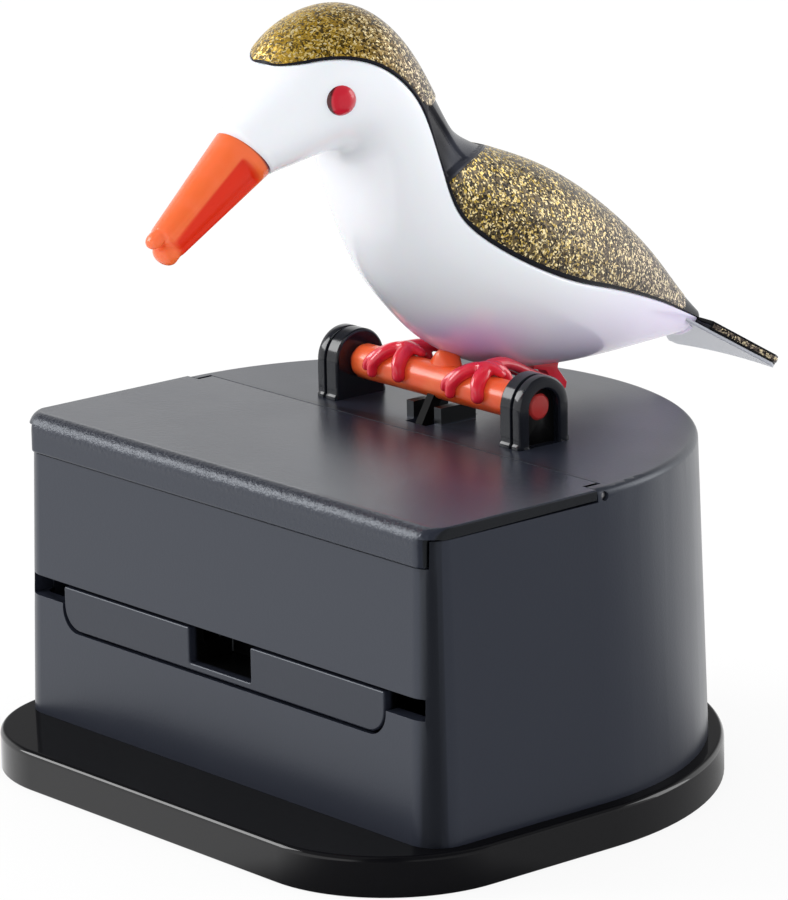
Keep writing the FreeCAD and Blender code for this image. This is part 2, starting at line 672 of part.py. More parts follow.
def build_hopper():
    hopper = body("pick_hopper")
    slope = sketch(hopper, "slope", plane="YZ_Plane")
    run = hopper_lip - hopper_back
    rise = run * tangent(hopper_rise)
    drop = hopper_skin / cosine(hopper_rise)
    outline(slope, [
        (-hopper_lip, hopper_low), (-hopper_lip + 3, hopper_low),
        (-hopper_back, hopper_low + rise - 3 * tangent(hopper_rise)),
        (-hopper_back + hopper_skin, hopper_low + rise - 3 * tangent(hopper_rise)),
        (-hopper_back + hopper_skin, hopper_high), (-hopper_back, hopper_high),
        (-hopper_back, hopper_low + rise + drop - 1), (-hopper_lip, hopper_low + drop - 1),
    ])
    pad(hopper, slope, 2 * hopper_half, both=True)
    legs = sketch(hopper, "legs", plane="YZ_Plane", level=hopper_half - 1.6)
    leg = [(-hopper_lip + 6, plinth_top), (-hopper_back + hopper_skin, plinth_top),
           (-hopper_back + hopper_skin, hopper_low + rise - 2.5 * tangent(hopper_rise)),
           (-hopper_lip + 6, hopper_low + 3.5 * tangent(hopper_rise))]
    outline(legs, leg)
    pad(hopper, legs, 1.6)
    other = sketch(hopper, "other_legs", plane="YZ_Plane", level=-hopper_half)
    outline(other, leg)
    pad(hopper, other, 1.6)


# ------------------------------------------------------------------ rocker, stand and spring
def build_rocker():
    rocker = body("rocker")
    side = sketch(rocker, "side", plane="YZ_Plane")
    prong = fork_gap + fork_prong
    neck = as_size(1.0)
    outline(side, [
        (-neck, -rocker_low), (neck, -rocker_low), (neck, -rocker_hub * 0.5),
        (neck + 0.6, fork_floor - fork_prong), (prong, fork_floor - fork_prong), (prong, rocker_high),
        (fork_gap, rocker_high), (fork_gap, fork_floor), (-fork_gap, fork_floor), (-fork_gap, rocker_high),
        (-prong, rocker_high), (-prong, fork_floor - fork_prong), (-neck - 0.6, fork_floor - fork_prong),
        (-neck, -rocker_hub * 0.5),
    ])
    pad(rocker, side, 2 * rocker_half, both=True)
    hub = sketch(rocker, "hub", plane="YZ_Plane")
    ring(hub, 0, 0, rocker_hub)
    pad(rocker, hub, 2 * (stand_in - gap), both=True)
    ball = sketch(rocker, "ball", plane="YZ_Plane")
    ring(ball, 0, -rocker_low, rocker_ball)
    pad(rocker, ball, 2 * rocker_half, both=True)
    bore = sketch(rocker, "bore", plane="YZ_Plane")
    ring(bore, 0, 0, pin_radius + slack)
    pocket(rocker, bore, 4 * stand_in, both=True)
    rocker.Placement.Rotation = FreeCAD.Rotation(FreeCAD.Vector(1, 0, 0), rocker_rest.value)
    rocker.setExpression("Placement.Rotation.Angle", rocker_rest.text)
    rocker.setExpression("Placement.Base.z", rocker_height.text)

    node("rocker_pin", rod("rocker_pin", -stand_out, stand_out, 0, rocker_height, pin_radius))

    stand = body("rocker_stand")
    foot = sketch(stand, "foot", level=plinth_top)
    rectangle(foot, -stand_out - 3, stand_out + 3, -stand_half, stand_half)
    pad(stand, foot, 2.0)
    posts = sketch(stand, "posts", level=plinth_top)
    for way in (-1, 1):
        ends = sorted((way * stand_in, way * stand_out), key=lambda item: item.value)
        rectangle(posts, ends[0], ends[1], -stand_half, stand_half)
    pad(stand, posts, rocker_height + stand_half - plinth_top)
    bore = sketch(stand, "bore", plane="YZ_Plane")
    ring(bore, 0, rocker_height, pin_radius)
    pocket(stand, bore, 4 * stand_out, both=True)


def build_spring():
    """Extension spring between the tray's hook and its anchor: a wire carried along a helix."""
    length = spring_end.value - spring_start.value
    helix = Part.makeHelix(length / spring_turns.value, length, spring_radius.value)
    start = FreeCAD.Vector(spring_radius.value, 0, 0)
    profile = Part.Wire(Part.makeCircle(spring_wire.value, start, FreeCAD.Vector(0, 1, 0)))
    coils = node("return_spring", solid("return_spring", helix.makePipeShell([profile], True, True)))
    coils.Placement.Rotation = FreeCAD.Rotation(FreeCAD.Vector(1, 0, 0), -90)
    coils.setExpression("Placement.Base.y", spring_start.text)
    coils.setExpression("Placement.Base.z", spring_height.text)

    anchor = body("spring_anchor")
    foot = sketch(anchor, "foot", level=plinth_top)
    rectangle(foot, -4, 4, anchor_y - 2.6, anchor_y + 2.6)
    pad(anchor, foot, 1.6)
    pin = sketch(anchor, "pin", level=plinth_top)
    ring(pin, 0, anchor_y, 1.2)
    pad(anchor, pin, spring_height + 3 - plinth_top)


# ------------------------------------------------------------------ perch
def build_brackets():
    """Two arched posts; each bore is half open to the outside, down to the deck."""
    for label, side in (("perch_bracket_left", -1), ("perch_bracket_right", 1)):
        bracket = body(label)
        arch = sketch(bracket, "arch", plane="YZ_Plane", level=bracket_in if side > 0 else -bracket_out)
        outline(arch, [(-bracket_half, box_top), (bracket_half, box_top),
                       (bracket_half, perch_height, bracket_half), (-bracket_half, perch_height)])
        pad(bracket, arch, bracket_out - bracket_in)
        bore = sketch(bracket, "bore", plane="YZ_Plane")
        ring(bore, 0, perch_height, perch_neck + slack)
        pocket(bracket, bore, 4 * bracket_out, both=True)
        edge = bracket_out - bracket_slot
        slot = sketch(bracket, "slot", plane="YZ_Plane", level=edge if side > 0 else -bracket_out - 1)
        half = perch_neck + slack
        outline(slot, [(-half, box_top + 0.8), (half, box_top + 0.8), (half, perch_height, half),
                       (-half, perch_height)])
        pocket(bracket, slot, bracket_slot + 1, back=True)


def build_perch(outer):
    end = bracket_out - bracket_slot + 0.2
    parts = [
        rod("perch_rod", -bracket_in + gap, bracket_in - gap, 0, perch_height, perch_radius),
        rod("perch_ends", -end, end, 0, perch_height, perch_neck),
        block("perch_lug", (-lug_half, -0.6, perch_height), (lug_half, 3.0, lug_high)),
    ]
    node("perch", cut("perch", fuse("perch_whole", parts), outer))

    finger = body("drive_finger")
    arm = sketch(finger, "arm", plane="YZ_Plane")
    rectangle(arm, -finger_skin, finger_skin, -finger_arm, -perch_radius)
    pad(finger, arm, 2 * finger_half, both=True)
    ball = sketch(finger, "ball", plane="YZ_Plane")
    ring(ball, 0, -finger_arm, finger_ball)
    pad(finger, ball, 2 * finger_half, both=True)
    saddle = sketch(finger, "saddle", plane="YZ_Plane")
    ring(saddle, 0, 0, perch_radius + 0.4)
    pad(finger, saddle, 2 * finger_half, both=True)
    bore = sketch(finger, "bore", plane="YZ_Plane")
    ring(bore, 0, 0, perch_radius)
    pocket(finger, bore, 8 * finger_half, both=True)
    clear = sketch(finger, "clear", plane="YZ_Plane")
    wide = perch_radius + 2
    rectangle(clear, -wide, wide, -1.5, wide)
    pocket(finger, clear, 8 * finger_half, both=True)
    finger.Placement.Rotation = FreeCAD.Rotation(FreeCAD.Vector(-1, 0, 0), swing.value / 2)
    finger.setExpression("Placement.Rotation.Angle", (swing / 2).text)
    finger.setExpression("Placement.Base.z", perch_height.text)


# ------------------------------------------------------------------ bird
def read_sections():
    """The bird's sections, put in the sheet and read back from it."""
    rows = []
    for number, section in enumerate(SECTIONS):
        cells = zip(SECTION_CELLS, section)
        rows.append([size(f"section_{number}_{cell}", value, "a section of the bird").value
                     for cell, value in cells])
    return rows


def section_wire(row, inset):
    """A closed oval across the bird, drawn in by inset: a right half and a left half."""
    top = FreeCAD.Vector(0, row[0], row[1])
    low = FreeCAD.Vector(0, row[2], row[3])
    middle = (top + low) * 0.5
    rise = (top - low) * 0.5
    rise = rise * ((rise.Length - inset) / rise.Length)
    across = FreeCAD.Vector(row[4] - inset, 0, 0)
    halves = []
    for start in (0, math.pi):
        turns = [start + math.pi * step / OVAL_STEPS for step in range(OVAL_STEPS + 1)]
        curve = Part.BSplineCurve()
        curve.interpolate([middle + rise * math.cos(turn) + across * math.sin(turn) for turn in turns])
        halves.append(curve.toShape())
    return Part.Wire(halves)


def bird_form(name, rows, inset):
    wires = [section_wire(row, inset) for row in rows]
    return solid(name, Part.makeLoft(wires, True, False))


def side_prism(name, line, closing):
    """A region seen from the side, bounded by a smooth line and straight closing edges."""
    points = [FreeCAD.Vector(-20, y, z) for y, z in line]
    curve = Part.BSplineCurve()
    curve.interpolate(points)
    corners = [points[-1]] + [FreeCAD.Vector(-20, y, z) for y, z in closing] + [points[0]]
    edges = [curve.toShape()] + [Part.makeLine(a, b) for a, b in zip(corners, corners[1:])]
    return solid(name, Part.Face(Part.Wire(edges)).extrude(FreeCAD.Vector(40, 0, 0)))


def moved_line(line, distance):
    """The line moved to its left by a distance."""
    moved = []
    for number, (y, z) in enumerate(line):
        before = line[max(number - 1, 0)]
        after = line[min(number + 1, len(line) - 1)]
        ahead = (after[0] - before[0], after[1] - before[1])
        step = distance / math.hypot(*ahead)
        moved.append((y - ahead[1] * step, z + ahead[0] * step))
    return moved


def build_bird():
    rows = read_sections()
    outer = bird_form("bird_outer", rows, 0.0)
    middle = bird_form("bird_middle", rows, inlay.value)
    inner = bird_form("bird_inner", rows[1:-1], shell.value)
    walls = cut("bird_walls", outer, inner)
    upper = side_prism("upper_region", SEAM, [(60, 60), (40, 110), (-50, 110), (-50, 92)])
    eyes = []
    for label, side in (("eye_left", -1), ("eye_right", 1)):
        eye = doc.addObject("Part::Sphere", label)
        eye.setExpression("Radius", eye_radius.text)
        eye.Placement.Rotation = FreeCAD.Rotation(FreeCAD.Vector(0, 1, 0), 90)
        for letter, value in zip("xyz", (side * eye_x, -eye_y, eye_z)):
            eye.setExpression(f"Placement.Base.{letter}", as_size(value).text)
        eyes.append(node(label, eye))
    lower_walls = cut("lower_walls", walls, upper)
    node("bird_body", cut("bird_body", lower_walls, fuse("eye_sockets", eyes)))

    skin = cut("outer_skin", outer, middle)
    edge = moved_line(SEAM, margin.value)
    crown = side_prism("crown_region", edge[:CROWN_LAST + 1], [(8, 84.6), (8, 110), (-50, 110), (-50, 92)])
    back = side_prism("back_region", edge[WING_FIRST:-1] + [(41.0, 49.6)],
                      [(60, 60), (40, 90), (4.0, 80), (-1.0, 77.2)])
    crown_panel = node("crown_panel", common("crown_panel", skin, crown))
    back_panel = node("back_panel", common("back_panel", skin, back))
    upper_walls = common("upper_walls", walls, upper)
    node("bird_back", cut("bird_back", upper_walls, fuse("panels", [crown_panel, back_panel])))
    return outer


def build_beak(outer):
    """A tapered round beak with a notch across its tip that grips the pick."""
    beak = body("beak_blank")
    nodes.remove(beak)
    side = sketch(beak, "side", plane="XZ_Plane")
    outline(side, [(0, 0), (beak_tip * 0.6, 0), (beak_tip, 1.2), (beak_base, beak_length), (0, beak_length)])
    turned = beak.newObject("PartDesign::Revolution", "beak_turned")
    turned.Profile = side
    turned.ReferenceAxis = (side, ["V_Axis"])
    turned.Angle = 360
    doc.recompute()
    notch = sketch(beak, "notch", plane="YZ_Plane")
    rectangle(notch, -beak_gap, beak_gap, -1, beak_gap_deep)
    pocket(beak, notch, 4 * beak_base, both=True)
    for name, level in (("left", -beak_base - channel_x), ("right", channel_x)):
        channel = sketch(beak, f"channel_{name}", plane="YZ_Plane", level=level)
        rectangle(channel, -channel_half, channel_half, -1, channel_length)
        pocket(beak, channel, beak_base, back=True)
    beak.Placement.Rotation = FreeCAD.Rotation(FreeCAD.Vector(1, 0, 0), beak_fall.value - 90)
    beak.setExpression("Placement.Base.y", (-beak_tip_y).text)
    beak.setExpression("Placement.Base.z", beak_tip_z.text)
    node("beak", cut("beak", beak, outer))


def build_feet(outer):
    for label, side in (("foot_left", -1), ("foot_right", 1)):
        foot = body(f"{label}_blank")
        nodes.remove(foot)
        around = perch_radius + slack
        over = around + toe_skin
        for number in (-1, 0, 1):
            level = side * foot_x + number * toe_pitch - toe_half
            toe = sketch(foot, f"toe_{number + 1}", plane="YZ_Plane", level=level)
            ring(toe, 0, perch_height, over)
            pad(foot, toe, 2 * toe_half)
        wide = foot_x + toe_pitch
        sole = sketch(foot, "sole", plane="YZ_Plane", level=0 if side > 0 else -wide)
        outline(sole, [(-0.6, perch_height + around + 0.1), (1.8, perch_height + 1.2),
                       (foot_back, foot_end_z), (foot_back, foot_end_z + toe_skin),
                       (2.0, perch_height + over), (-0.6, perch_height + over)])
        pad(foot, sole, wide)
        trim = sketch(foot, "trim", level=perch_height - 4)
        palm, end = foot_back * 0.13, foot_back + 1
        inner = [(-1, -1), (foot_x - toe_pitch, -1), (foot_x - toe_pitch, palm), (foot_x - shank_half, palm),
                 (foot_end_x - shank_half, foot_back), (foot_end_x - shank_half, end), (-1, end)]
        outer_side = [(foot_x + shank_half, palm), (wide + 1, palm), (wide + 1, end),
                      (foot_end_x + shank_half, end), (foot_end_x + shank_half, foot_back)]
        for points in (inner, outer_side):
            outline(trim, [(side * x, y) for x, y in points])
        pocket(foot, trim, 10, back=True)
        bore = sketch(foot, "bore", plane="YZ_Plane")
        ring(bore, 0, perch_height, around)
        pocket(foot, bore, 6 * foot_x, both=True)
        under = sketch(foot, "under", plane="YZ_Plane")
        rectangle(under, -over - 1, 2.6, perch_height - over - 1, perch_height - 1.0)
        pocket(foot, under, 6 * foot_x, both=True)
        behind = sketch(foot, "behind", plane="YZ_Plane")
        rectangle(behind, 1.2, over + 1, perch_height - over - 1, perch_height - 0.4)
        pocket(foot, behind, 6 * foot_x, both=True)
        node(label, cut(label, foot, outer))


def build_tail(outer):
    """A thin fan that widens towards its end."""
    raw = doc.addObject("Part::Loft", "tail_blank")
    sections = []
    for name, y, z, half in (("root", tail_root_y, tail_root_z, tail_root_half),
                             ("end", tail_end_y, tail_end_z, tail_end_half)):
        plate = doc.addObject("Part::Plane", f"tail_{name}")
        plate.setExpression("Length", (2 * half).text)
        plate.setExpression("Width", tail_skin.text)
        plate.Placement.Rotation = FreeCAD.Rotation(FreeCAD.Vector(1, 0, 0), 60)
        for letter, value in zip("xyz", (-half, y, z)):
            plate.setExpression(f"Placement.Base.{letter}", as_size(value).text)
        sections.append(plate)
    raw.Sections = sections
    raw.Solid = True
    raw.Ruled = True
    node("tail", cut("tail", raw, outer))


def build_fin(outer):
    """The fin under the belly: at rest the bird leans back on it."""
    fin = body("rest_fin_blank")
    nodes.remove(fin)
    side = sketch(fin, "side", plane="YZ_Plane", level=-fin_half)
    foot = box_top + 0.2
    outline(side, [(18.7, foot), (19.7, foot + 0.1), (19.9, foot + 0.9), (18.4, 45.9), (18.5, 46.5),
                   (19.8, 47.4), (19.8, 49), (14.3, 49), (14.3, 46.5), (16.4, 45.9), (17.2, 44.8)])
    pad(fin, side, 2 * fin_half)
    node("rest_fin", cut("rest_fin", fin, outer))


# ------------------------------------------------------------------ build, check and write
def check_and_write():
    doc.recompute()
    for item in doc.Objects:
        if "Invalid" in item.State or "Error" in item.State:
            raise RuntimeError(f"{item.Name} did not build: {item.State}")
    os.makedirs("parts", exist_ok=True)
    for item in nodes:
        shape = item.Shape
        if shape.isNull() or not shape.isValid() or shape.Volume < 1e-3:
            raise RuntimeError(f"{item.Label} has no valid solid")
        shape.exportStep(f"parts/{item.Label}.step")
        print(f"{item.Label:24s} {len(shape.Solids)} solid(s) {shape.Volume:10.1f} mm3")


build_plinth()
build_housing()
build_screws()
build_lid()
build_tray()
build_bed()
build_hopper()
build_rocker()
build_spring()
build_brackets()
bird_outer = build_bird()
build_perch(bird_outer)
build_beak(bird_outer)
build_feet(bird_outer)
build_tail(bird_outer)
build_fin(bird_outer)
check_and_write()
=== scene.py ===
"""Looks of a toothpick dispenser: a bird on a perch over a black box with a pick tray.

Lengths are millimetres in the settings, the tables and the shapes' functions, and metres in the meshes
and the materials, unless a comment says otherwise. +Z is up, the front faces -Y.
"""
import math

import bmesh
import bpy
import numpy as np
from mathutils import Matrix, Vector


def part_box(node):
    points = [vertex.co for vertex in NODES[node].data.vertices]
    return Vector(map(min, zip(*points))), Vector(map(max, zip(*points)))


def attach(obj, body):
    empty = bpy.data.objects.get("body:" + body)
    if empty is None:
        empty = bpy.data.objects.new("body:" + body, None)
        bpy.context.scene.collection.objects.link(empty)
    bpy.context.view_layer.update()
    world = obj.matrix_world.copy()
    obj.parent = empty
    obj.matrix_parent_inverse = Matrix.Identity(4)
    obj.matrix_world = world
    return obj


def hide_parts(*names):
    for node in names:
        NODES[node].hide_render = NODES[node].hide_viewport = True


bl_info = {
    "name": "Toothpick dispenser",
    "version": (1, 0, 0),
    "blender": (4, 5, 0),
    "location": "3D View > Sidebar > Dispenser",
    "description": "Builds a bird toothpick dispenser around its packed solids",
    "category": "Add Mesh",
}

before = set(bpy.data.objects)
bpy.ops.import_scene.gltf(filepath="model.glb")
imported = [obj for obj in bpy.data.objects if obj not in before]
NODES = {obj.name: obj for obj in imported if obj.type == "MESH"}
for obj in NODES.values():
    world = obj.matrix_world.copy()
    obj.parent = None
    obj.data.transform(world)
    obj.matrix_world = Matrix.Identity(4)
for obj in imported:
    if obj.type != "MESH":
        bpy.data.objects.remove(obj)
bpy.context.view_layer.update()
MM = 0.001

# The bird's sections from beak to tail: upper point, lower point (y, z) and half width.
SECTIONS = np.array([
    (-32.6, 84.0, -26.9, 77.4, 4.35), (-28.0, 88.9, -22.6, 78.3, 6.6), (-24.9, 92.4, -18.8, 78.9, 8.2),
    (-20.1, 95.2, -15.9, 78.0, 9.3), (-13.8, 95.7, -14.5, 75.1, 9.6), (-8.4, 92.1, -13.9, 71.7, 9.5),
    (-4.8, 87.2, -13.0, 67.8, 9.3), (-1.9, 82.4, -11.4, 63.8, 9.3), (1.1, 78.8, -9.0, 60.0, 9.8),
    (6.7, 75.8, -5.1, 55.7, 11.0), (13.2, 73.2, -0.8, 51.9, 11.6), (20.0, 69.5, 5.9, 48.6, 11.0),
    (26.6, 64.7, 14.2, 47.0, 9.3), (32.9, 59.0, 23.0, 46.6, 7.0), (38.2, 53.2, 31.5, 46.7, 4.3),
    (42.3, 49.2, 38.5, 46.8, 2.0),
])
LAST = len(SECTIONS) - 1
# How far the round caps stand out past the first and the last section.
CAP_DEPTH = 1.2
# How far round from the top the dark shell reaches, in degrees, at the sections from SEAM_FROM on.
SEAM_FROM = 2
SEAM_ANGLES = np.array([39.5, 60.5, 73.2, 74.5, 78.3, 85.3, 90.7, 92.0, 91.4, 88.7, 84.0, 79.2, 70.8, 62.0])
# The section number of the forehead's point, where the seam starts, and the power it opens with.
SEAM_START = 1.4
SEAM_OPENING = 0.42
# The wing's front edge: section number at each share of the way from the top to the seam.
WING_START = np.array([9.1, 8.55, 7.95, 7.35, 6.85])
# The neck's ridge: its angle from the top, in degrees, at the sections from RIDGE_FROM on.
RIDGE_FROM = 5.6
RIDGE_ANGLES = np.array([60.0, 50.0, 46.0, 41.0])
# The bird's usual radius and that of its back, with which an angle is made a width; how far the borders
# of its shells and panels roll in, and how much of the rim shows beside them.
USUAL_RADIUS = 9.0
BACK_RADIUS = 10.0
BORDER_FALL = 0.12
RIM_SHOWN = 0.8
# The dark shell: how far it is raised all over, and the depth and first section number of the facet
# beside the neck's ridge and of the valley before the wing.
DARK_RAISED = 0.06
FACET_DEPTH, FACET_FROM = 0.45, 5.45
VALLEY_DEPTH, VALLEY_FROM = 0.22, 5.2
# The gold panels: how far they are raised, and how much more inside their rolled borders; and where
# the crown ends at the seam, and how much further back it reaches in its middle.
PANEL_RAISED = 0.07
PANEL_CUSHION = 0.06
CROWN_END, CROWN_POINT = 4.85, 1.9
# The beak's axis: a point inside the head, the way it points and the way square to it, upwards.
BEAK_START = Vector((0.0, -29.2, 80.6))
BEAK_FALL = math.radians(38.8)
BEAK_AHEAD = Vector((0.0, -math.cos(BEAK_FALL), -math.sin(BEAK_FALL)))
BEAK_ABOVE = Vector((0.0, -math.sin(BEAK_FALL), math.cos(BEAK_FALL)))
# The beak's radius at that point, and how much it narrows for each millimetre along its axis.
BEAK_RADIUS = 3.92
BEAK_TAPER = 0.103
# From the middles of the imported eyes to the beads': so far out, back and up.
EYE_SHIFT = Vector((0.25, 0.35, -0.15))
# The beads' half widths; and, in metres, the two radii between which their painted shade rings fade in.
EYE_HALF = (1.65, 2.05, 1.92)
EYE_SHADE_RING = (0.00182, 0.00194)
# The height of the perch's axis, and where its rod has stepped down, to each side of the middle.
PERCH_AXIS = 47.4
ROD_STEP = 15.1
# The lid: the thickness of its plate, how far its lip hangs below and its top lies below the packed
# one's, half the lip's width, the ears beside its hinge, the hinge's place, and places across from -1
# to 1, closest at the ends.
LID_SKIN = 1.2
LIP_DROP = 0.18
LIP_BELOW = 0.004
LIP_HALF = 36.9
LID_EAR = 2.5
HINGE_Y = -8.0
LID_SPREAD = np.sin(np.linspace(-np.pi / 2, np.pi / 2, 91))
# The middle of the studio's dim side and of a narrow dark strip, as angles from the front towards the
# right, the cosines of the angles away from them at which each fades in, and the strip's own level.
DIM_SIDE = math.radians(85)
DIM_FADE = (0.25, 0.8)
DARK_STRIP = math.radians(42)
STRIP_FADE = (0.90, 0.985)
STRIP_LEVEL = 0.15
# The black plastics mirror a little more blue than red.
COOL = (0.86, 0.92, 1.0, 1.0)
# Edges sharper than this stay sharp on the computed pieces of the box, and how much the large faces
# weigh in the smooth shading.
SHARP = math.radians(35)
FLAT_WEIGHT = 60
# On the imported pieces, faces within this angle are made one, and edges from this angle on are rounded.
FLAT_WITHIN = math.radians(0.6)
ROUNDED_FROM = math.radians(32)
# Points nearer to each other than this are one, and faces smaller than this are none (metres).
SAME_PLACE = 2e-6
NO_AREA = 1e-14


# ---------------------------------------------------------------- shader maths
class Value:
    """A socket of a material; arithmetic on it adds Math nodes."""

    def __init__(self, finish, socket):
        self.finish = finish
        self.socket = socket

    def maths(self, operation, first, second=None):
        return self.finish.node("Math", {"operation": operation}, {0: first, 1: second})

    def size(self):
        """This value without its sign."""
        return self.maths("ABSOLUTE", self)

    def __add__(self, other):
        return self.maths("ADD", self, other)

    def __radd__(self, other):
        return self.maths("ADD", other, self)

    def __sub__(self, other):
        return self.maths("SUBTRACT", self, other)

    def __rsub__(self, other):
        return self.maths("SUBTRACT", other, self)

    def __mul__(self, other):
        return self.maths("MULTIPLY", self, other)

    def __rmul__(self, other):
        return self.maths("MULTIPLY", other, self)

    def ramp(self, low, high, start=0.0, end=1.0):
        """This value carried from low..high to start..end, held at the ends, with soft shoulders."""
        settings = {"interpolation_type": "SMOOTHSTEP"}
        return self.finish.node("MapRange", settings, {0: self, 1: low, 2: high, 3: start, 4: end})


class Finish:
    """One material with a Principled shader and the nodes that feed it."""

    def __init__(self, name, colour, roughness, **sockets):
        self.material = bpy.data.materials.new(name)
        self.material.use_nodes = True
        self.tree = self.material.node_tree
        self.shader = self.tree.nodes["Principled BSDF"]
        self.feed("Base Color", (*colour, 1.0))
        self.feed("Roughness", roughness)
        for socket, value in sockets.items():
            self.feed(socket.replace("_", " "), value)
        self.place = self.node("TexCoord", {}, {}, output="Object")

    def node(self, kind, settings, inputs, output=0):
        """Add one shader node: its settings first, then the values or links of its sockets."""
        made = self.tree.nodes.new(f"ShaderNode{kind}")
        for key, value in settings.items():
            setattr(made, key, value)
        for key, value in inputs.items():
            if isinstance(value, Value):
                self.tree.links.new(value.socket, made.inputs[key])
            elif value is not None:
                made.inputs[key].default_value = value
        return Value(self, made.outputs[output])

    def feed(self, socket, value):
        """Give a socket of the shader a value or a link."""
        if isinstance(value, Value):
            self.tree.links.new(value.socket, self.shader.inputs[socket])
        else:
            self.shader.inputs[socket].default_value = value

    def vector(self, operation, first, second=None, output="Vector"):
        """A sum, product or length of vectors."""
        return self.node("VectorMath", {"operation": operation}, {0: first, 1: second}, output)

    def scaled(self, value, factor):
        """A vector made longer or shorter by a number."""
        return self.node("VectorMath", {"operation": "SCALE"}, {0: value, 3: factor})

    def normal(self):
        """The way that the surface faces."""
        return self.node("NewGeometry", {}, {}, output="Normal")

    def toward(self, place, angle):
        """How far a direction or place lies towards an angle, seen from above: 1 at it, -1 opposite."""
        level = self.vector("MULTIPLY", place, (1.0, 1.0, 0.0))
        way = (math.sin(angle), -math.cos(angle), 0.0)
        return self.vector("DOT_PRODUCT", self.vector("NORMALIZE", level), way, output="Value")

    def mirrored(self, place, dim):
        """The studio's brightness in mirrors, by direction: dim at the right, with a darker strip."""
        strip = self.toward(place, DARK_STRIP).ramp(*STRIP_FADE, 1.0, STRIP_LEVEL)
        return self.toward(place, DIM_SIDE).ramp(*DIM_FADE, 1.0, dim) * strip

    def grey(self, level):
        """A colour of equal parts."""
        return self.node("CombineXYZ", {}, {0: level, 1: level, 2: level})

    def noise(self, scale, detail=2.0, roughness=0.5):
        """Soft clouds, so many to the metre; detail adds finer ones, roughness makes those stronger."""
        inputs = {"Vector": self.place, "Scale": scale, "Detail": detail, "Roughness": roughness}
        return self.node("TexNoise", {}, inputs)

    def mix(self, factor, first, second):
        """A blend of two colours."""
        inputs = {0: factor, 6: self.colour(first), 7: self.colour(second)}
        return self.node("Mix", {"data_type": "RGBA"}, inputs, output=2)

    @staticmethod
    def colour(value):
        return value if isinstance(value, Value) else (*value, 1.0)

    def part(self, value, letter):
        """The x, y or z of a vector."""
        return self.node("SeparateXYZ", {}, {0: value}, output="xyz".index(letter))

    def mirrored_blob(self, centre, size):
        """The same blob on both sides of the object's middle plane: 1 in its centre, 0 from its rim on.
        centre and size, its half widths, are in millimetres."""
        x, y, z = (self.part(self.place, letter) for letter in "xyz")
        folded = self.node("CombineXYZ", {}, {0: x.size(), 1: y, 2: z})
        shifted = self.vector("SUBTRACT", folded, Vector(centre) * MM)
        far = self.vector("LENGTH", self.vector("DIVIDE", shifted, Vector(size) * MM), output="Value")
        return far.ramp(0.0, 1.0, 1.0, 0.0)

    def bump(self, height, depth):
        """Raise the surface by height times depth, in metres."""
        self.feed("Normal", self.node("Bump", {}, {"Height": height, "Distance": depth, "Strength": 1.0}))


class Sky(Finish):
    """The world's nodes, with the direction looked in as their place."""

    def __init__(self, name):
        self.world = bpy.data.worlds.new(name)
        self.world.use_nodes = True
        self.tree = self.world.node_tree
        self.tree.nodes["Background"].inputs["Color"].default_value = (1, 1, 1, 1)
        self.place = self.node("TexCoord", {}, {}, output="Generated")


# ---------------------------------------------------------------- settings
def millimetres(name, default, description):
    return bpy.props.FloatProperty(name=name, default=default, description=description, precision=3)


def number(name, default, description):
    return bpy.props.FloatProperty(name=name, default=default, description=description)


def tint(name, default, description):
    return bpy.props.FloatVectorProperty(name=name, default=default, description=description,
                                         subtype="COLOR", min=0.0, max=1.0)


class DispenserBox(bpy.types.PropertyGroup):
    """Sizes and colours of the box, the lid, the tray and the plinth."""

    edge: millimetres("Edge", 0.3, "Rounding of the box's moulded edges, in millimetres")
    roll: millimetres("Roll", 1.9, "Radius of the lid's rolled front edge, in millimetres")
    plinth_edge: millimetres("Plinth edge", 0.35, "Rounding of the plinth's edges, in millimetres")
    small_edge: millimetres("Small edge", 0.18, "Rounding of the small pieces' edges, in millimetres")
    plastic: tint("Box plastic", (0.019, 0.022, 0.034), "Colour of the box and the lid")
    front: tint("Tray plastic", (0.017, 0.0195, 0.030), "Colour of the tray's front")
    plinth: tint("Plinth plastic", (0.004, 0.004, 0.005), "Colour of the plinth")
    # The pieces inside are darker than the box as painted shade.
    inner: tint("Inner plastic", (0.006, 0.006, 0.0065), "Colour of the pieces inside")


class DispenserBird(bpy.types.PropertyGroup):
    """Sizes and colours of the bird and its perch."""

    rim: millimetres("Rim", 0.34, "Width of the dark rim round the gold panels, in millimetres")
    shell: millimetres("Shell", 0.9, "Thickness of the bird's shells, in millimetres")
    inlay: millimetres("Inlay", 0.5, "Thickness of the gold panels, in millimetres")
    white: tint("White", (0.90, 0.90, 0.95), "Colour of the white shell")
    dark: tint("Dark", (0.012, 0.0125, 0.017), "Colour of the dark shell")
    gold: tint("Gold", (0.50, 0.30, 0.02), "Middle colour of the glitter")
    wing: tint("Wing gold", (0.15, 0.104, 0.041), "Middle colour of the glitter on the back")
    orange: tint("Orange", (0.86, 0.15, 0.035), "Colour of the beak and the perch")
    red: tint("Red", (0.74, 0.014, 0.038), "Colour of the feet and the eyes")


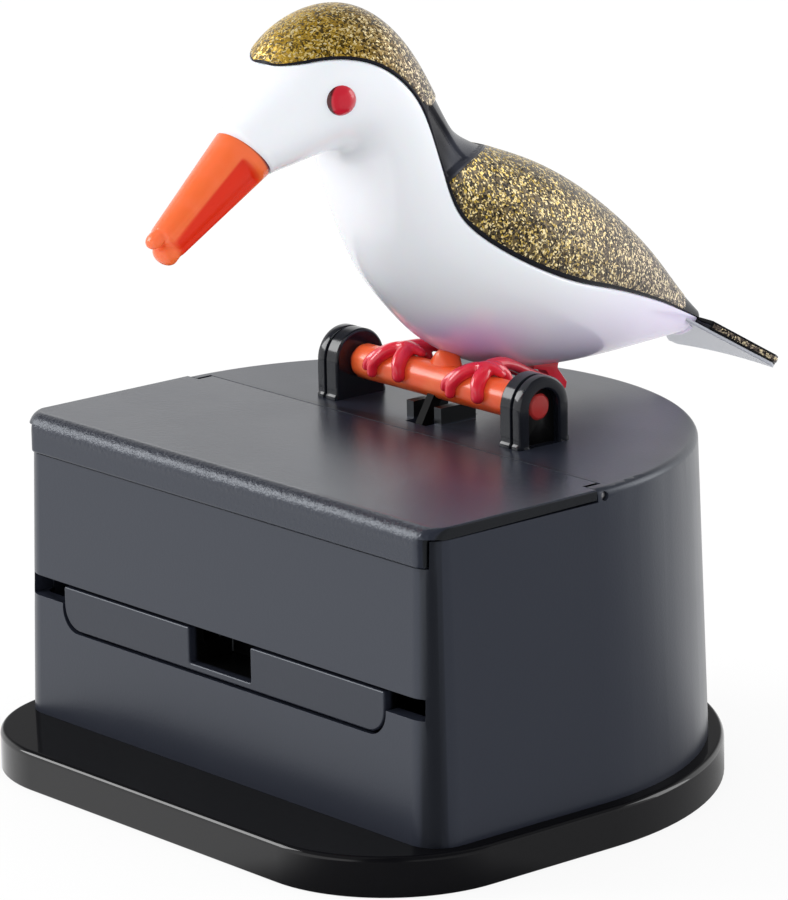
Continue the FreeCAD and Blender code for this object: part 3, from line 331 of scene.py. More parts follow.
class DispenserStage(bpy.types.PropertyGroup):
    """Camera, lamps and floor."""

    azimuth: number("Azimuth", 49.75, "Camera angle from the front, in degrees")
    elevation: number("Elevation", 14.87, "Camera height angle, in degrees")
    roll: number("Roll", -1.07, "Camera roll, in degrees")
    distance: millimetres("Distance", 703.5, "Camera distance from its target, in millimetres")
    target: bpy.props.FloatVectorProperty(name="Target", default=(4.62, -11.58, 41.7),
                                          description="Point looked at, in millimetres")
    lens: number("Lens", 234.26, "Focal length, in millimetres")
    sky: number("Sky", 1.0, "Strength of the even light from all round")
    dim: number("Dim", 0.30, "Mirrored strength of the dim side at the right")
    roof: number("Roof", 0.17, "Mirrored strength of the sky overhead")
    key: number("Key", 3.8, "Power of the lamp at the front left, in watts")
    rim: number("Rim", 1.2, "Power of the lamp behind on the right, in watts")


# ---------------------------------------------------------------- curves and surfaces
def spline(knots, places):
    """A natural cubic spline through knots at whole numbers, read at places."""
    count = len(knots)
    matrix = 4 * np.eye(count) + np.eye(count, k=1) + np.eye(count, k=-1)
    matrix[0] = matrix[-1] = 0
    matrix[0, 0] = matrix[-1, -1] = 1
    bends = np.zeros_like(knots)
    bends[1:-1] = 6 * (knots[2:] - 2 * knots[1:-1] + knots[:-2])
    bends = np.linalg.solve(matrix, bends)
    index = np.clip(np.floor(places).astype(int), 0, count - 2)
    share = places - index
    if knots.ndim > 1:
        share = share[..., None]
    rest = 1 - share
    return (rest * knots[index] + share * knots[index + 1]
            + (rest ** 3 - rest) * bends[index] / 6 + (share ** 3 - share) * bends[index + 1] / 6)


def steps(low, high, count):
    return np.linspace(low, high, count)


def full_turn(count):
    """So many angles evenly round a circle."""
    return steps(0, 2 * np.pi, count + 1)[:-1]


def arc(centre, radius, start, end, count):
    """Points of an arc: its centre plus its radius times the cosine and sine of angles, in degrees."""
    turn = np.radians(steps(start, end, count))
    return [*zip(centre[0] + radius * np.cos(turn), centre[1] + radius * np.sin(turn))]


def smooth(value):
    """0 below 0, 1 above 1, and a soft step between."""
    value = np.clip(value, 0, 1)
    return value * value * (3 - 2 * value)


def seam_angle(place):
    """Angle of the seam from the top: a spline through its table, opening as a root at the forehead."""
    later = spline(SEAM_ANGLES, np.clip(place, SEAM_FROM, LAST) - SEAM_FROM)
    share = np.clip((place - SEAM_START) / (SEAM_FROM - SEAM_START), 0, 1)
    return np.radians(np.where(place < SEAM_FROM, SEAM_ANGLES[0] * share ** SEAM_OPENING, later))


def bird_raw(place, angle):
    """A point of the bird: the middle of its section, plus rise times the cosine of the angle,
    plus half width times its sine across. Past the end sections the oval shrinks to a round cap."""
    row = spline(SECTIONS, np.clip(place, 0, LAST))
    over = np.clip(np.maximum(-place, place - LAST), 0, 1)
    shrink = np.sqrt(np.clip(1 - over ** 2, 0, 1))
    top, low = row[..., 0:2], row[..., 2:4]
    rise = (top - low) / 2
    push = np.stack([-rise[..., 1], rise[..., 0]], -1)
    push /= np.linalg.norm(push, axis=-1, keepdims=True)
    depth = np.where(place < 0, over, -over) * CAP_DEPTH
    side = (top + low) / 2 + push * depth[..., None]
    side = side + rise * (shrink * np.cos(angle))[..., None]
    across = row[..., 4] * shrink * np.sin(angle)
    return np.concatenate([across[..., None], side], -1)


def bird_surface(place, angle, lift):
    """The bird's surface raised along its own outward direction by lift."""
    tiny = 1e-3
    along = bird_raw(place + tiny, angle) - bird_raw(place - tiny, angle)
    around = bird_raw(place, angle + tiny) - bird_raw(place, angle - tiny)
    outward = np.cross(around, along)
    outward /= np.linalg.norm(outward, axis=-1, keepdims=True) + 1e-12
    return bird_raw(place, angle) + outward * np.asarray(lift)[..., None]


def grid_faces(rows, columns, wrap):
    """Quads of a grid of points; wrap joins its last column to its first."""
    across = columns if wrap else columns - 1
    row, column = np.meshgrid(np.arange(rows - 1), np.arange(across), indexing="ij")
    after = (column + 1) % columns
    corners = [row * columns + column, row * columns + after,
               (row + 1) * columns + after, (row + 1) * columns + column]
    return np.stack([item.ravel() for item in corners], -1)


def mesh_piece(name, sheets, wrap=False):
    """A mesh of one or more grids of points in millimetres: doubles merged, faces turned outwards."""
    points, faces, base = [], [], 0
    for sheet in sheets:
        rows, columns = sheet.shape[:2]
        points.append(sheet.reshape(-1, 3) * MM)
        faces.append(grid_faces(rows, columns, wrap) + base)
        base += rows * columns
    mesh = bpy.data.meshes.new(name)
    mesh.from_pydata(np.concatenate(points).tolist(), [], np.concatenate(faces).tolist())
    made = bmesh.new()
    made.from_mesh(mesh)
    bmesh.ops.remove_doubles(made, verts=made.verts, dist=SAME_PLACE)
    flat = [face for face in made.faces if face.calc_area() < NO_AREA]
    bmesh.ops.delete(made, geom=flat, context="FACES_ONLY")
    bmesh.ops.recalc_face_normals(made, faces=made.faces)
    made.to_mesh(mesh)
    made.free()
    piece = bpy.data.objects.new(name, mesh)
    bpy.context.scene.collection.objects.link(piece)
    return piece


def shade_smooth(piece):
    piece.data.polygons.foreach_set("use_smooth", np.ones(len(piece.data.polygons), bool))


def modifier(piece, kind, **settings):
    made = piece.modifiers.new(kind.title(), kind)
    for key, value in settings.items():
        setattr(made, key, value)


def thicken(piece, thickness):
    """Give a sheet its wall, inwards, in millimetres."""
    modifier(piece, "SOLIDIFY", thickness=thickness * MM, offset=-1)


def make_one(piece, cell, rounds):
    """Melt a piece's parts into one skin, of cells in millimetres, and smooth it so many times."""
    modifier(piece, "REMESH", mode="VOXEL", voxel_size=cell * MM, use_smooth_shade=True)
    modifier(piece, "SMOOTH", factor=0.5, iterations=rounds)


def keep_sharp(piece):
    """Leave the sharp edges of a piece as edges in its smooth shading."""
    piece.data.set_sharp_from_angle(angle=SHARP)


def wear(piece, finish, body, slot, *replaced):
    """Give a new piece its material, smooth shading and its body, and hide the nodes that it stands for; the
    slot is not used.
    """
    piece.data.materials.clear()
    piece.data.materials.append(finish.material)
    shade_smooth(piece)
    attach(piece, body)
    if replaced:
        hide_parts(*replaced)
    return piece


def dress(name, finish, edge):
    """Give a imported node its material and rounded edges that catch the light."""
    piece = NODES[name]
    piece.data.materials.clear()
    piece.data.materials.append(finish.material)
    split = piece.data.attributes.get("custom_normal")
    if split is not None:
        piece.data.attributes.remove(split)
    shade_smooth(piece)
    modifier(piece, "WELD", merge_threshold=1e-6)
    if edge > 0:
        modifier(piece, "DECIMATE", decimate_type="DISSOLVE", angle_limit=FLAT_WITHIN)
        modifier(piece, "BEVEL", width=edge * MM, segments=3, limit_method="ANGLE",
                 angle_limit=ROUNDED_FROM, use_clamp_overlap=True, miter_outer="MITER_ARC")
    modifier(piece, "WEIGHTED_NORMAL", keep_sharp=True, weight=FLAT_WEIGHT)


# Upwards and a little back, so that it never lies along a toe.
NEARLY_UP = (0.0, 0.35, 1.0)


def tube(line, radius, flat=1.0, sides=20):
    """A round-ended tube: circles of the given radius at points of a line, set square to it.
    The circle's own up is nearly upwards, made square to the line and scaled by flat."""
    line = np.asarray(line, float)
    ahead = np.gradient(line, axis=0)
    ahead /= np.linalg.norm(ahead, axis=1, keepdims=True)
    side = np.cross(ahead, NEARLY_UP)
    side /= np.linalg.norm(side, axis=1, keepdims=True)
    up = np.cross(side, ahead)
    turn = full_turn(sides)
    ring = side[:, None] * np.cos(turn)[:, None] + up[:, None] * (flat * np.sin(turn))[:, None]
    body = line[:, None] + ring * radius[:, None, None]
    ends = []
    for index, way in ((0, -1), (-1, 1)):
        bend = steps(0, np.pi / 2, 6)[1:]
        cap = (line[index] + ring[index][None] * (radius[index] * np.cos(bend))[:, None, None]
               + ahead[index] * way * (radius[index] * np.sin(bend))[:, None, None])
        ends.append(cap)
    return np.concatenate([ends[0][::-1], body, ends[1]])


# Points of an arch: its half circle, and each of its legs.
ARCH_POINTS = 40
ARCH_LEG_POINTS = 5


def arch(half, base, centre, skirt=0.0):
    """An arch seen from the side: two straight legs from base up to a half circle round centre.
    The lowest half millimetre of the legs stands out by the skirt."""
    curve = arc((0.0, centre), half, 0, 180, ARCH_POINTS)
    legs = np.array([base, base + 0.4, base + 0.65, base + 2.0, (base + centre) / 2 + 1.0])
    wide = half + skirt * np.array([1.0, 1.0, 0.0, 0.0, 0.0])
    right = np.stack([wide, legs], -1)
    left = np.stack([-wide, legs], -1)[::-1]
    return np.concatenate([right, curve, left])


# ---------------------------------------------------------------- finishes
# Noises are so many to the metre, places on the object are in metres, as the meshes are.
# The all but black of the painted shade on the box's ribs and behind the tray's front panel.
PAINTED_SHADE_BLACK = Vector((0.001, 0.001, 0.001))


def grained(name, colour, roughness, grain, depth, **sockets):
    """Moulded plastic with a fine grain and faint cloudy changes of gloss."""
    finish = Finish(name, colour, roughness, **sockets)
    cloud = finish.noise(90.0, 3.0)
    finish.feed("Roughness", cloud.ramp(0.3, 0.7, roughness * 0.96, roughness * 1.04))
    finish.bump(finish.noise(grain, 3.0, 0.6), depth)
    return finish


def satin(name, colour, **sockets):
    """The box's moulded plastic."""
    return grained(name, colour, 0.30, 2600.0, 0.000012, Specular_Tint=COOL, **sockets)


def box_plastic(name, colour, **sockets):
    """The box's plastic, painted darker round its right front corner as a painted dark reflection of the
    studio, and painted all but black on the ribs that stand on its deck as painted shade under the perch."""
    finish = satin(name, colour, **sockets)
    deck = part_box("lid")[1].z
    # Painted shade: the ribs above the deck are painted all but black.
    ribs = finish.part(finish.place, "z").ramp(deck + 0.00005, deck + 0.0003)
    # Painted dark reflection: faces turned towards the studio's dark strip are painted darker.
    corner = finish.toward(finish.normal(), DARK_STRIP).ramp(0.90, 0.98)
    shown = finish.mix(corner, colour, Vector(colour) * 0.45)
    finish.feed("Base Color", finish.mix(ribs, shown, PAINTED_SHADE_BLACK))
    return finish


def tray_plastic(name, colour, **sockets):
    """The tray's plastic, painted all but black behind its front panel as painted shade inside the box."""
    finish = satin(name, colour, **sockets)
    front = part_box("tray")[0].y
    # Painted shade: the tray behind its front panel is painted all but black.
    behind = finish.part(finish.place, "y").ramp(front + 0.0008, front + 0.0014)
    finish.feed("Base Color", finish.mix(behind, colour, PAINTED_SHADE_BLACK))
    return finish


def lid_plastic(name, colour, **sockets):
    """The lid's plastic: a little glossier than the box's, speckled on the rolled edge, painted dark at its
    ends as painted shade.
    """
    finish = Finish(name, colour, 0.26, Specular_Tint=COOL, **sockets)
    low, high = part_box("lid")
    cloud = finish.noise(90.0, 3.0)
    finish.feed("Roughness", cloud.ramp(0.3, 0.7, 0.25, 0.27))
    # Painted shade: faces turned sideways are painted darker.
    sideways = finish.part(finish.normal(), "x")
    ends = (sideways * sideways).ramp(0.6, 0.9)
    finish.feed("Base Color", finish.mix(ends, colour, Vector(colour) * 0.1))
    in_front = finish.part(finish.place, "y").ramp(low.y + 0.0015, low.y + 0.0022, 1.0, 0.25)
    on_top = finish.part(finish.place, "z").ramp(high.z - 0.0026, high.z - 0.0015, 0.2, 1.0)
    finish.bump(finish.noise(1900.0, 3.0, 0.65) * in_front * on_top, 0.00011)
    return finish


def glitter(name, gold, first, last):
    """Glitter under lacquer: fine crooked flakes, each with its own brightness, tint and tilt, over a
    dark ground, the brightest painted cream and straw as painted glints; yellow gold at y first, turning to a
    pinkish taupe at y last (metres)."""
    finish = Finish(name, gold, 0.34, Metallic=0.5, Coat_Weight=0.12, Coat_Roughness=0.12)
    gold, lit_gold = Vector(gold), Vector((0.95, 0.64, 0.08))
    taupe, lit_taupe = Vector((0.155, 0.12, 0.098)), Vector((0.63, 0.51, 0.40))
    straw = Vector((0.95, 0.82, 0.50))
    crooked = finish.node("TexNoise", {}, {"Vector": finish.place, "Scale": 2600.0, "Detail": 1.0}, "Color")
    moved = finish.vector("ADD", finish.place, finish.scaled(crooked, 0.0005))
    flakes = finish.node("TexVoronoi", {}, {"Vector": moved, "Scale": 4200.0}, "Color")
    chance, warmth = finish.part(flakes, "x"), finish.part(flakes, "y")
    turned = finish.part(finish.place, "y").ramp(first, last)
    dark = finish.mix(turned, gold * 0.16, taupe * 0.22)
    middle = finish.mix(turned, gold, taupe)
    # Painted glints: the brightest flakes are painted in lit gold, lit taupe and straw.
    painted_glint_colour = finish.mix(warmth, finish.mix(turned, lit_gold, lit_taupe), straw)
    level = chance + (finish.noise(260.0) - 0.5) * 0.35
    shown = finish.mix(level.ramp(0.22, 0.50), dark, middle)
    finish.feed("Base Color", finish.mix(level.ramp(0.69, 0.83), shown, painted_glint_colour))
    finish.feed("Roughness", warmth.ramp(0.0, 1.0, 0.24, 0.5))
    tilt = finish.scaled(finish.vector("SUBTRACT", flakes, (0.5, 0.5, 0.5)), 0.5)
    finish.feed("Normal", finish.vector("NORMALIZE", finish.vector("ADD", finish.normal(), tilt)))
    return finish


def white_plastic(name, colour):
    """Glossy white, painted with a lavender tint under the belly as painted shade and a rosy one over the red
    feet as a painted reflection of them.
    """
    finish = grained(name, colour, 0.20, 700.0, 0.000003, Coat_Weight=0.3, Coat_Roughness=0.08,
                     Subsurface_Weight=0.12, Subsurface_Scale=0.003)
    lavender, rosy = Vector((0.70, 0.58, 0.84)), Vector((0.60, 0.36, 0.80))
    # Painted shade: the low belly is painted lavender.
    low = finish.part(finish.place, "z").ramp(0.047, 0.062, 0.7, 0.0)
    # Painted reflection: the white over the red feet is painted rosy, as the red of the feet cast back on it.
    feet = finish.mirrored_blob((5.5, -1.0, 51.5), (13.0, 11.0, 8.0))
    finish.feed("Base Color", finish.mix(feet * 0.8, finish.mix(low, colour, lavender), rosy))
    return finish


def neck_plastic(name, colour):
    """Satin black, painted greyer on the neck between the two gold panels as a painted sheen."""
    finish = grained(name, colour, 0.25, 1800.0, 0.000008, Specular_IOR_Level=0.10)
    grey = Vector((0.034, 0.037, 0.050))
    # Painted sheen: the neck is painted greyer where it mirrors the sky.
    neck = finish.mirrored_blob((7.5, 0.0, 75.0), (9.0, 8.0, 10.0)).ramp(0.05, 0.5)
    finish.feed("Base Color", finish.mix(neck, colour, grey))
    return finish


def bead_plastic(name, colour, centre):
    """Crimson under a clear coat, with a painted shade ring near its edge; centre is the middle of the bead.
    """
    finish = Finish(name, colour, 0.35, Coat_Weight=0.8, Coat_Roughness=0.03, Specular_IOR_Level=0.2)
    y = finish.part(finish.place, "y") - centre.y * MM
    z = finish.part(finish.place, "z") - centre.z * MM
    edge = finish.node("Math", {"operation": "SQRT"}, {0: y * y + z * z})
    # Painted shade: the rim of the bead is painted darker.
    finish.feed("Base Color", finish.mix(edge.ramp(*EYE_SHADE_RING), colour, Vector(colour) * 0.12))
    return finish


def cloudy(finish, colour, glow, scale=260.0):
    """A body colour with a lighter, warmer cloud inside it."""
    return finish.mix(finish.noise(scale).ramp(0.35, 0.7), colour, glow)


def clear_plastic(name, colour, glow, roughness, **sockets):
    """Tinted translucent plastic, cloudy inside."""
    finish = Finish(name, colour, roughness, **sockets)
    finish.feed("Base Color", cloudy(finish, colour, glow))
    finish.bump(finish.noise(900.0), 0.00001)
    return finish


def polished(name, colour):
    """Black gloss: a clear coat on the walls, and hardly any on the level top."""
    finish = Finish(name, colour, 0.08, Coat_Roughness=0.05, Specular_IOR_Level=0.006)
    level = finish.part(finish.normal(), "z")
    finish.feed("Coat Weight", level.ramp(0.75, 0.97, 0.9, 0.035))
    return finish


def perch_plastic(name, colour, glow, deep, **sockets):
    """Translucent orange, painted dark red at both ends, inside the brackets, as painted shade."""
    finish = clear_plastic(name, colour, glow, 0.28, **sockets)
    # Painted shade: the rod is painted dark red where it runs inside the brackets.
    ends = finish.part(finish.place, "x").size().ramp((ROD_STEP - 0.5) * MM, (ROD_STEP + 0.1) * MM)
    finish.feed("Base Color", finish.mix(ends, cloudy(finish, colour, glow), deep))
    return finish


def beak_plastic(name, colour, glow, deep, **sockets):
    """Translucent orange, painted redder in the side channels, partly their own deeper tone and partly
    painted shade in the recess, with a dark line where it leaves the head.
    How deep a place is sunk is the beak's full radius there less the place's distance from its axis."""
    finish = clear_plastic(name, colour, glow, 0.24, Specular_IOR_Level=0.35, **sockets)
    shifted = finish.vector("SUBTRACT", finish.place, BEAK_START * MM)
    reach = finish.vector("DOT_PRODUCT", shifted, BEAK_AHEAD, output="Value")
    square = finish.vector("SUBTRACT", shifted, finish.scaled(BEAK_AHEAD, reach))
    depth = 0.00405 - reach * BEAK_TAPER - finish.vector("LENGTH", square, output="Value")
    sunk = depth.ramp(0.00020, 0.00050) * reach.ramp(0.0019, 0.0029) * reach.ramp(0.0150, 0.0162, 1.0, 0.0)
    # Painted redder in the channels: partly their own deeper tone, partly painted shade in the recess.
    shown = finish.mix(sunk, cloudy(finish, colour, glow, 240.0), deep)
    line = reach.ramp(0.0009, 0.0013, 1.0, 0.0)
    finish.feed("Base Color", finish.mix(line, shown, Vector((0.10, 0.008, 0.02))))
    finish.feed("Coat Weight", sunk.ramp(0.0, 1.0, 0.25, 0.0))
    return finish


class Finishes:
    """The dispenser's materials, made once by the first operator."""

    made = {}

    @classmethod
    def make(cls, scene):
        box, bird = scene.dispenser_box, scene.dispenser_bird
        low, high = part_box("eye_right")
        soft = {"Subsurface_Weight": 0.2, "Subsurface_Scale": 0.003, "Coat_Weight": 0.25,
                "Coat_Roughness": 0.08}
        cls.made = {
            "box": box_plastic("box_satin", box.plastic, Specular_IOR_Level=0.62),
            "lid": lid_plastic("lid_satin", box.plastic, Specular_IOR_Level=0.62),
            "front": tray_plastic("tray_satin", box.front, Specular_IOR_Level=0.55),
            "plinth": polished("plinth_polish", box.plinth),
            # Painted shade: the pieces inside the box are darker and less glossy than its plastic.
            "inner": grained("inner_moulding", box.inner, 0.6, 2200.0, 0.00002, Specular_IOR_Level=0.15),
            "bracket": grained("bracket_gloss", Vector(box.plastic) * 0.35, 0.13, 1500.0, 0.000006),
            # Painted shade: the dark, rough sheet over each bracket's slot floor stands for the shade in the
            # slot.
            "recess": grained("recess_black", Vector((0.004, 0.004, 0.0045)), 0.45, 1500.0, 0.000008),
            # Painted shade: the finger between the ribs is all but black and hardly mirrors.
            "shade": grained("finger_black", Vector((0.003, 0.003, 0.0035)), 0.6, 1500.0, 0.000008,
                             Specular_IOR_Level=0.12),
            "white": white_plastic("white_gloss", bird.white),
            # Painted shade: the white underside of the tail is painted pale grey.
            "pale": grained("tail_underside", Vector((0.50, 0.52, 0.58)), 0.3, 900.0, 0.000006),
            "rim": grained("tail_rim", Vector(bird.dark) * 0.3, 0.2, 1800.0, 0.000008),
            "dark": neck_plastic("neck_satin", bird.dark),
            "crown": glitter("gold_crown_glitter", bird.gold, -0.022, -0.008),
            "wing": glitter("gold_wing_glitter", bird.wing, 0.0, 0.036),
            "orange": perch_plastic("perch_clear", Vector((0.89, 0.105, 0.022)), Vector((0.92, 0.16, 0.045)),
                                    Vector((0.42, 0.028, 0.026)), **soft),
            "beak": beak_plastic("beak_clear", bird.orange, Vector((0.90, 0.165, 0.055)),
                                 Vector((0.72, 0.026, 0.005)), **soft),
            "red": clear_plastic("crimson_clear", bird.red, Vector((0.82, 0.03, 0.06)), 0.16,
                                 Coat_Weight=0.6, Coat_Roughness=0.05),
            "eye": bead_plastic("eye_bead", Vector(bird.red) * 0.75, (low + high) / 2 / MM + EYE_SHIFT),
            "steel": grained("steel_wire", Vector((0.55, 0.55, 0.57)), 0.3, 3000.0, 0.00001, Metallic=1.0),
        }
        return cls.made


# ---------------------------------------------------------------- operators
class BuildBox(bpy.types.Operator):
    """Finish the plinth, the box, the lid, the tray and the pieces inside"""

    bl_idname = "dispenser.box"
    bl_label = "Box"

    def execute(self, context):
        box = context.scene.dispenser_box
        made = Finishes.make(context.scene)
        dress("base_plate", made["plinth"], box.plinth_edge)
        dress("housing", made["box"], box.edge)
        lid = mesh_piece("lid_shell", [lid_lip(box.roll), lid_plate(box.roll), *lid_hinge()], wrap=True)
        wear(lid, made["lid"], "lid", "box_plastic", "lid")
        keep_sharp(lid)
        modifier(lid, "WEIGHTED_NORMAL", keep_sharp=True, weight=FLAT_WEIGHT)
        dress("tray", made["front"], box.edge * 1.1)
        for name in ("tray_bed", "pick_hopper", "rocker", "rocker_stand", "spring_anchor"):
            dress(name, made["inner"], box.small_edge)
        finger = mesh_piece("finger_blade", [finger_blade()], wrap=True)
        wear(finger, made["shade"], "bird", "bracket_plastic", "drive_finger")
        keep_sharp(finger)
        for name in ("base_screws", "lid_hinge_pin", "rocker_pin"):
            dress(name, made["steel"], box.small_edge)
        dress("return_spring", made["steel"], 0.0)
        return {"FINISHED"}


def loop_at(side_points, x):
    """Points (y, z) of a closed outline placed across the object at x."""
    return np.concatenate([np.full((len(side_points), 1), x), side_points], 1)


def closed(rows):
    """Loops one behind the other, with each end drawn in to its middle."""
    rows = np.array(rows)
    first, last = (rows[end].mean(axis=0, keepdims=True).repeat(rows.shape[1], 0) for end in (0, -1))
    return np.concatenate([first[None], rows, last[None]])


def rounded_end(across, half, radius):
    """How far an edge has drawn back at a place across, where its end at half is rounded."""
    over = max(0.0, abs(across) - half + radius)
    return radius - math.sqrt(radius ** 2 - over ** 2)


def finger_blade():
    """The finger: a slim arm from inside the rod down to its rounded end in the slot, leaning forward."""
    lean, root, arm, ball = math.radians(31), 1.6, 9.0, 1.2
    thick, half = 0.7, 0.6
    neck = math.degrees(math.asin(thick / ball))
    outline = [(thick, -root), *arc((0.0, -arm), ball, 90 - neck, neck - 270, 15), (-thick, -root)]
    side, down = np.array(outline).T
    points = np.stack([side * math.cos(lean) + down * math.sin(lean),
                       PERCH_AXIS + down * math.cos(lean) - side * math.sin(lean)], -1)
    return closed([loop_at(points, x) for x in (-half, 0.0, half)])


def lid_lip(roll):
    """The lid's front lip, closed: its outline from the rear of its foot over the rolled edge to the rear
    of the plate's nose, carried across. The front draws back at both ends, the rear stays straight."""
    low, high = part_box("lid")
    front, foot, plate = low.y / MM, low.z / MM - LIP_DROP, high.z / MM
    top, under = plate - LIP_BELOW, plate - LID_SKIN
    hem, wall, reach, near = 0.3, 1.5, 4.5, 0.2
    moving = [(front + 2 * hem, foot), *arc((front + hem, foot + hem), hem, -90, -180, 13),
              (front, foot + hem + near), (front, plate - roll - near),
              *arc((front + roll, top - roll), roll, 180, 90, 13)]
    fixed = [(front + reach, top), (front + reach, under)]
    inside = [(front + wall, under), (front + wall, foot)]
    outline = np.array([*moving, *fixed, *inside])
    moved = np.ones(len(outline))
    moved[len(moving):len(moving) + len(fixed)] = 0
    rows = []
    for x in LID_SPREAD * LIP_HALF:
        back = rounded_end(x, LIP_HALF, 1.2)
        rows.append(loop_at(outline + np.stack([moved * back, 0 * moved], -1), x))
    return closed(rows)


def lid_plate(roll):
    """The lid's plate, closed: the same roll at its front, its front corners rounded seen from above, its
    upper edge broken at both sides, and its rear edge nearer to the deck between the ears than outside."""
    low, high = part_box("lid")
    half, front, top = high.x / MM, low.y / MM + 0.012, high.z / MM
    ear = half - LID_EAR
    start = math.degrees(math.asin(1 - LID_SKIN / roll))
    nose = np.array(arc((front + roll, top - roll), roll, 180 - start, 90, 11))
    rows = []
    for x in np.sort([*(LID_SPREAD * half), ear - 0.01, ear + 0.01, -ear - 0.01, 0.01 - ear]):
        back, fall = rounded_end(x, half, 2.4), rounded_end(x, half, 0.25)
        rear = HINGE_Y - (0.75 if abs(x) < ear else 1.25)
        outline = [*(nose + (back, -fall)), (rear, top - fall), (rear, top - LID_SKIN)]
        rows.append(loop_at(np.array(outline), x))
    return closed(rows)


def lid_hinge():
    """The cover over the lid's hinge, a closed strip, and its barrel, a tube with a bore for the pin."""
    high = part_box("lid")[1]
    ear, top = high.x / MM - LID_EAR, high.z / MM
    barrel, bore, thin = 0.95, 0.55, 0.36
    rear, front = HINGE_Y + 0.93, HINGE_Y - 0.75
    cover = np.array([(front, top - thin), (front, top), (rear, top), (rear, top - thin)])
    turn = full_turn(24)
    ring = np.stack([np.cos(turn), np.sin(turn)], -1)
    outside = barrel - 0.02
    walls = ((-ear, outside), (ear, outside), (ear, bore), (-ear, bore), (-ear, outside))
    tube_rows = [loop_at((HINGE_Y, top - barrel) + radius * ring, x) for x, radius in walls]
    return closed([loop_at(cover, x) for x in (-ear, 0.0, ear)]), np.array(tube_rows)


class BuildPerch(bpy.types.Operator):
    """Make the two brackets and the perch between them"""

    bl_idname = "dispenser.perch"
    bl_label = "Perch"

    def execute(self, context):
        low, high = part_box("perch_bracket_right")
        half, base, top = high.y / MM, low.z / MM, high.z / MM
        centre = top - half
        for side, name in ((-1, "left"), (1, "right")):
            rings = bracket_rings(side, low.x / MM, high.x / MM, half, base, centre)
            piece = mesh_piece(f"bracket_{name}", [rings], wrap=True)
            wear(piece, Finishes.made["bracket"], "box", "bracket_plastic", f"perch_bracket_{name}")
            modifier(piece, "BEVEL", width=0.07 * MM, segments=2, limit_method="ANGLE")
            modifier(piece, "WEIGHTED_NORMAL", weight=FLAT_WEIGHT)
            rings = recess_rings(side, high.x / MM - 1.05, base, centre)
            floor = mesh_piece(f"bracket_recess_{name}", [rings], wrap=True)
            wear(floor, Finishes.made["recess"], "box", "bracket_plastic")
        rod = mesh_piece("perch_rod", [rod_rings(centre)], wrap=True)
        modifier(rod, "BEVEL", width=0.1 * MM, segments=2, limit_method="ANGLE")
        wear(rod, Finishes.made["orange"], "bird", "orange_plastic", "perch")
        lug = mesh_piece("perch_lug", [lug_rings(centre)], wrap=True)
        modifier(lug, "SUBSURF", levels=2, render_levels=2)
        wear(lug, Finishes.made["orange"], "bird", "orange_plastic")
        return {"FINISHED"}


def arch_middle(centre):
    """The point that an arch's face closes in, once for each point of the arch."""
    return np.tile(np.array([[0.0, centre - 1.5]]), (ARCH_POINTS + 2 * ARCH_LEG_POINTS, 1))


def bracket_rings(side, inner, outer, half, base, centre):
    """Arches one behind the other: an inner layer, a groove, the outer plate, and an open slot.
    Each level is its place across, how much its arch grows and how far its skirt stands out."""
    bore, floor = 2.35, outer - 1.1
    levels = [(inner, -0.4, 0.0), (inner + 0.12, -0.15, 0.1), (inner + 0.35, 0.0, 0.22),
              (inner + 2.0, 0.0, 0.22), (inner + 2.12, -0.12, 0.1), (inner + 2.14, -0.4, 0.0),
              (inner + 2.4, -0.4, 0.0), (inner + 2.42, -0.12, 0.1), (inner + 2.55, 0.0, 0.22),
              (outer - 0.35, 0.0, 0.22), (outer - 0.12, -0.08, 0.15), (outer, -0.32, 0.0)]
    rings = [loop_at(arch_middle(centre), side * inner)]
    rings += [loop_at(arch(half + grow, base, centre, skirt), side * x) for x, grow, skirt in levels]
    for x, radius in ((outer, bore + 0.2), (outer - 0.2, bore), (floor, bore)):
        rings.append(loop_at(arch(radius, base + 0.01, centre), side * x))
    rings.append(loop_at(arch_middle(centre), side * floor))
    return np.array(rings)


def recess_rings(side, x, base, centre):
    """The floor of a bracket's slot, a thin arch-shaped plate painted dark as painted shade."""
    outline, middle = arch(2.3, base + 0.05, centre), arch_middle(centre)
    thin = 0.02
    return np.array([loop_at(middle, side * (x - thin)), loop_at(outline, side * (x - thin)),
                     loop_at(outline, side * x), loop_at(middle, side * x)])


def rod_rings(centre):
    """A turned rod with eight soft flats, stepped down where it enters the brackets. Each station of
    its right half is a radius and a place across."""
    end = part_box("perch")[1].x / MM
    stations = np.array([(0.0, end), (1.35, end), (1.72, end - 0.35), (1.72, ROD_STEP),
                         (1.72, ROD_STEP - 0.25), (1.82, ROD_STEP - 0.38), (2.08, ROD_STEP - 0.65),
                         (2.16, ROD_STEP - 0.9), (2.16, 12.0), (2.16, 6.0), (2.16, 0.0)])
    radius, across = np.concatenate([stations, stations[-2::-1] * (1, -1)]).T[..., None]
    turn = full_turn(64)
    flats = 1 - 0.010 * np.cos(8 * turn)
    return np.stack([across + 0 * turn, radius * np.cos(turn) * flats,
                     centre + radius * np.sin(turn) * flats], -1)


# The lug's ovals: height above the perch's axis, half widths across and lengthways, shift to the rear.
LUG_OVALS = np.array([
    (1.0, 0.02, 0.02, 0.9), (1.0, 3.0, 1.6, 0.6), (1.7, 2.75, 1.6, 0.7), (2.3, 2.25, 1.6, 0.9),
    (3.0, 1.6, 1.6, 1.0), (3.7, 1.0, 1.5, 1.2), (3.8, 0.7, 1.2, 1.3), (3.8, 0.02, 0.02, 1.3),
])


def lug_rings(centre):
    """A wedge that stands on the rod: ovals that narrow from the rod up to the belly."""
    height, wide, deep, shift = LUG_OVALS.T[..., None]
    turn = full_turn(24)
    return np.stack([wide * np.cos(turn), shift + deep * np.sin(turn), centre + height + 0 * turn], -1)


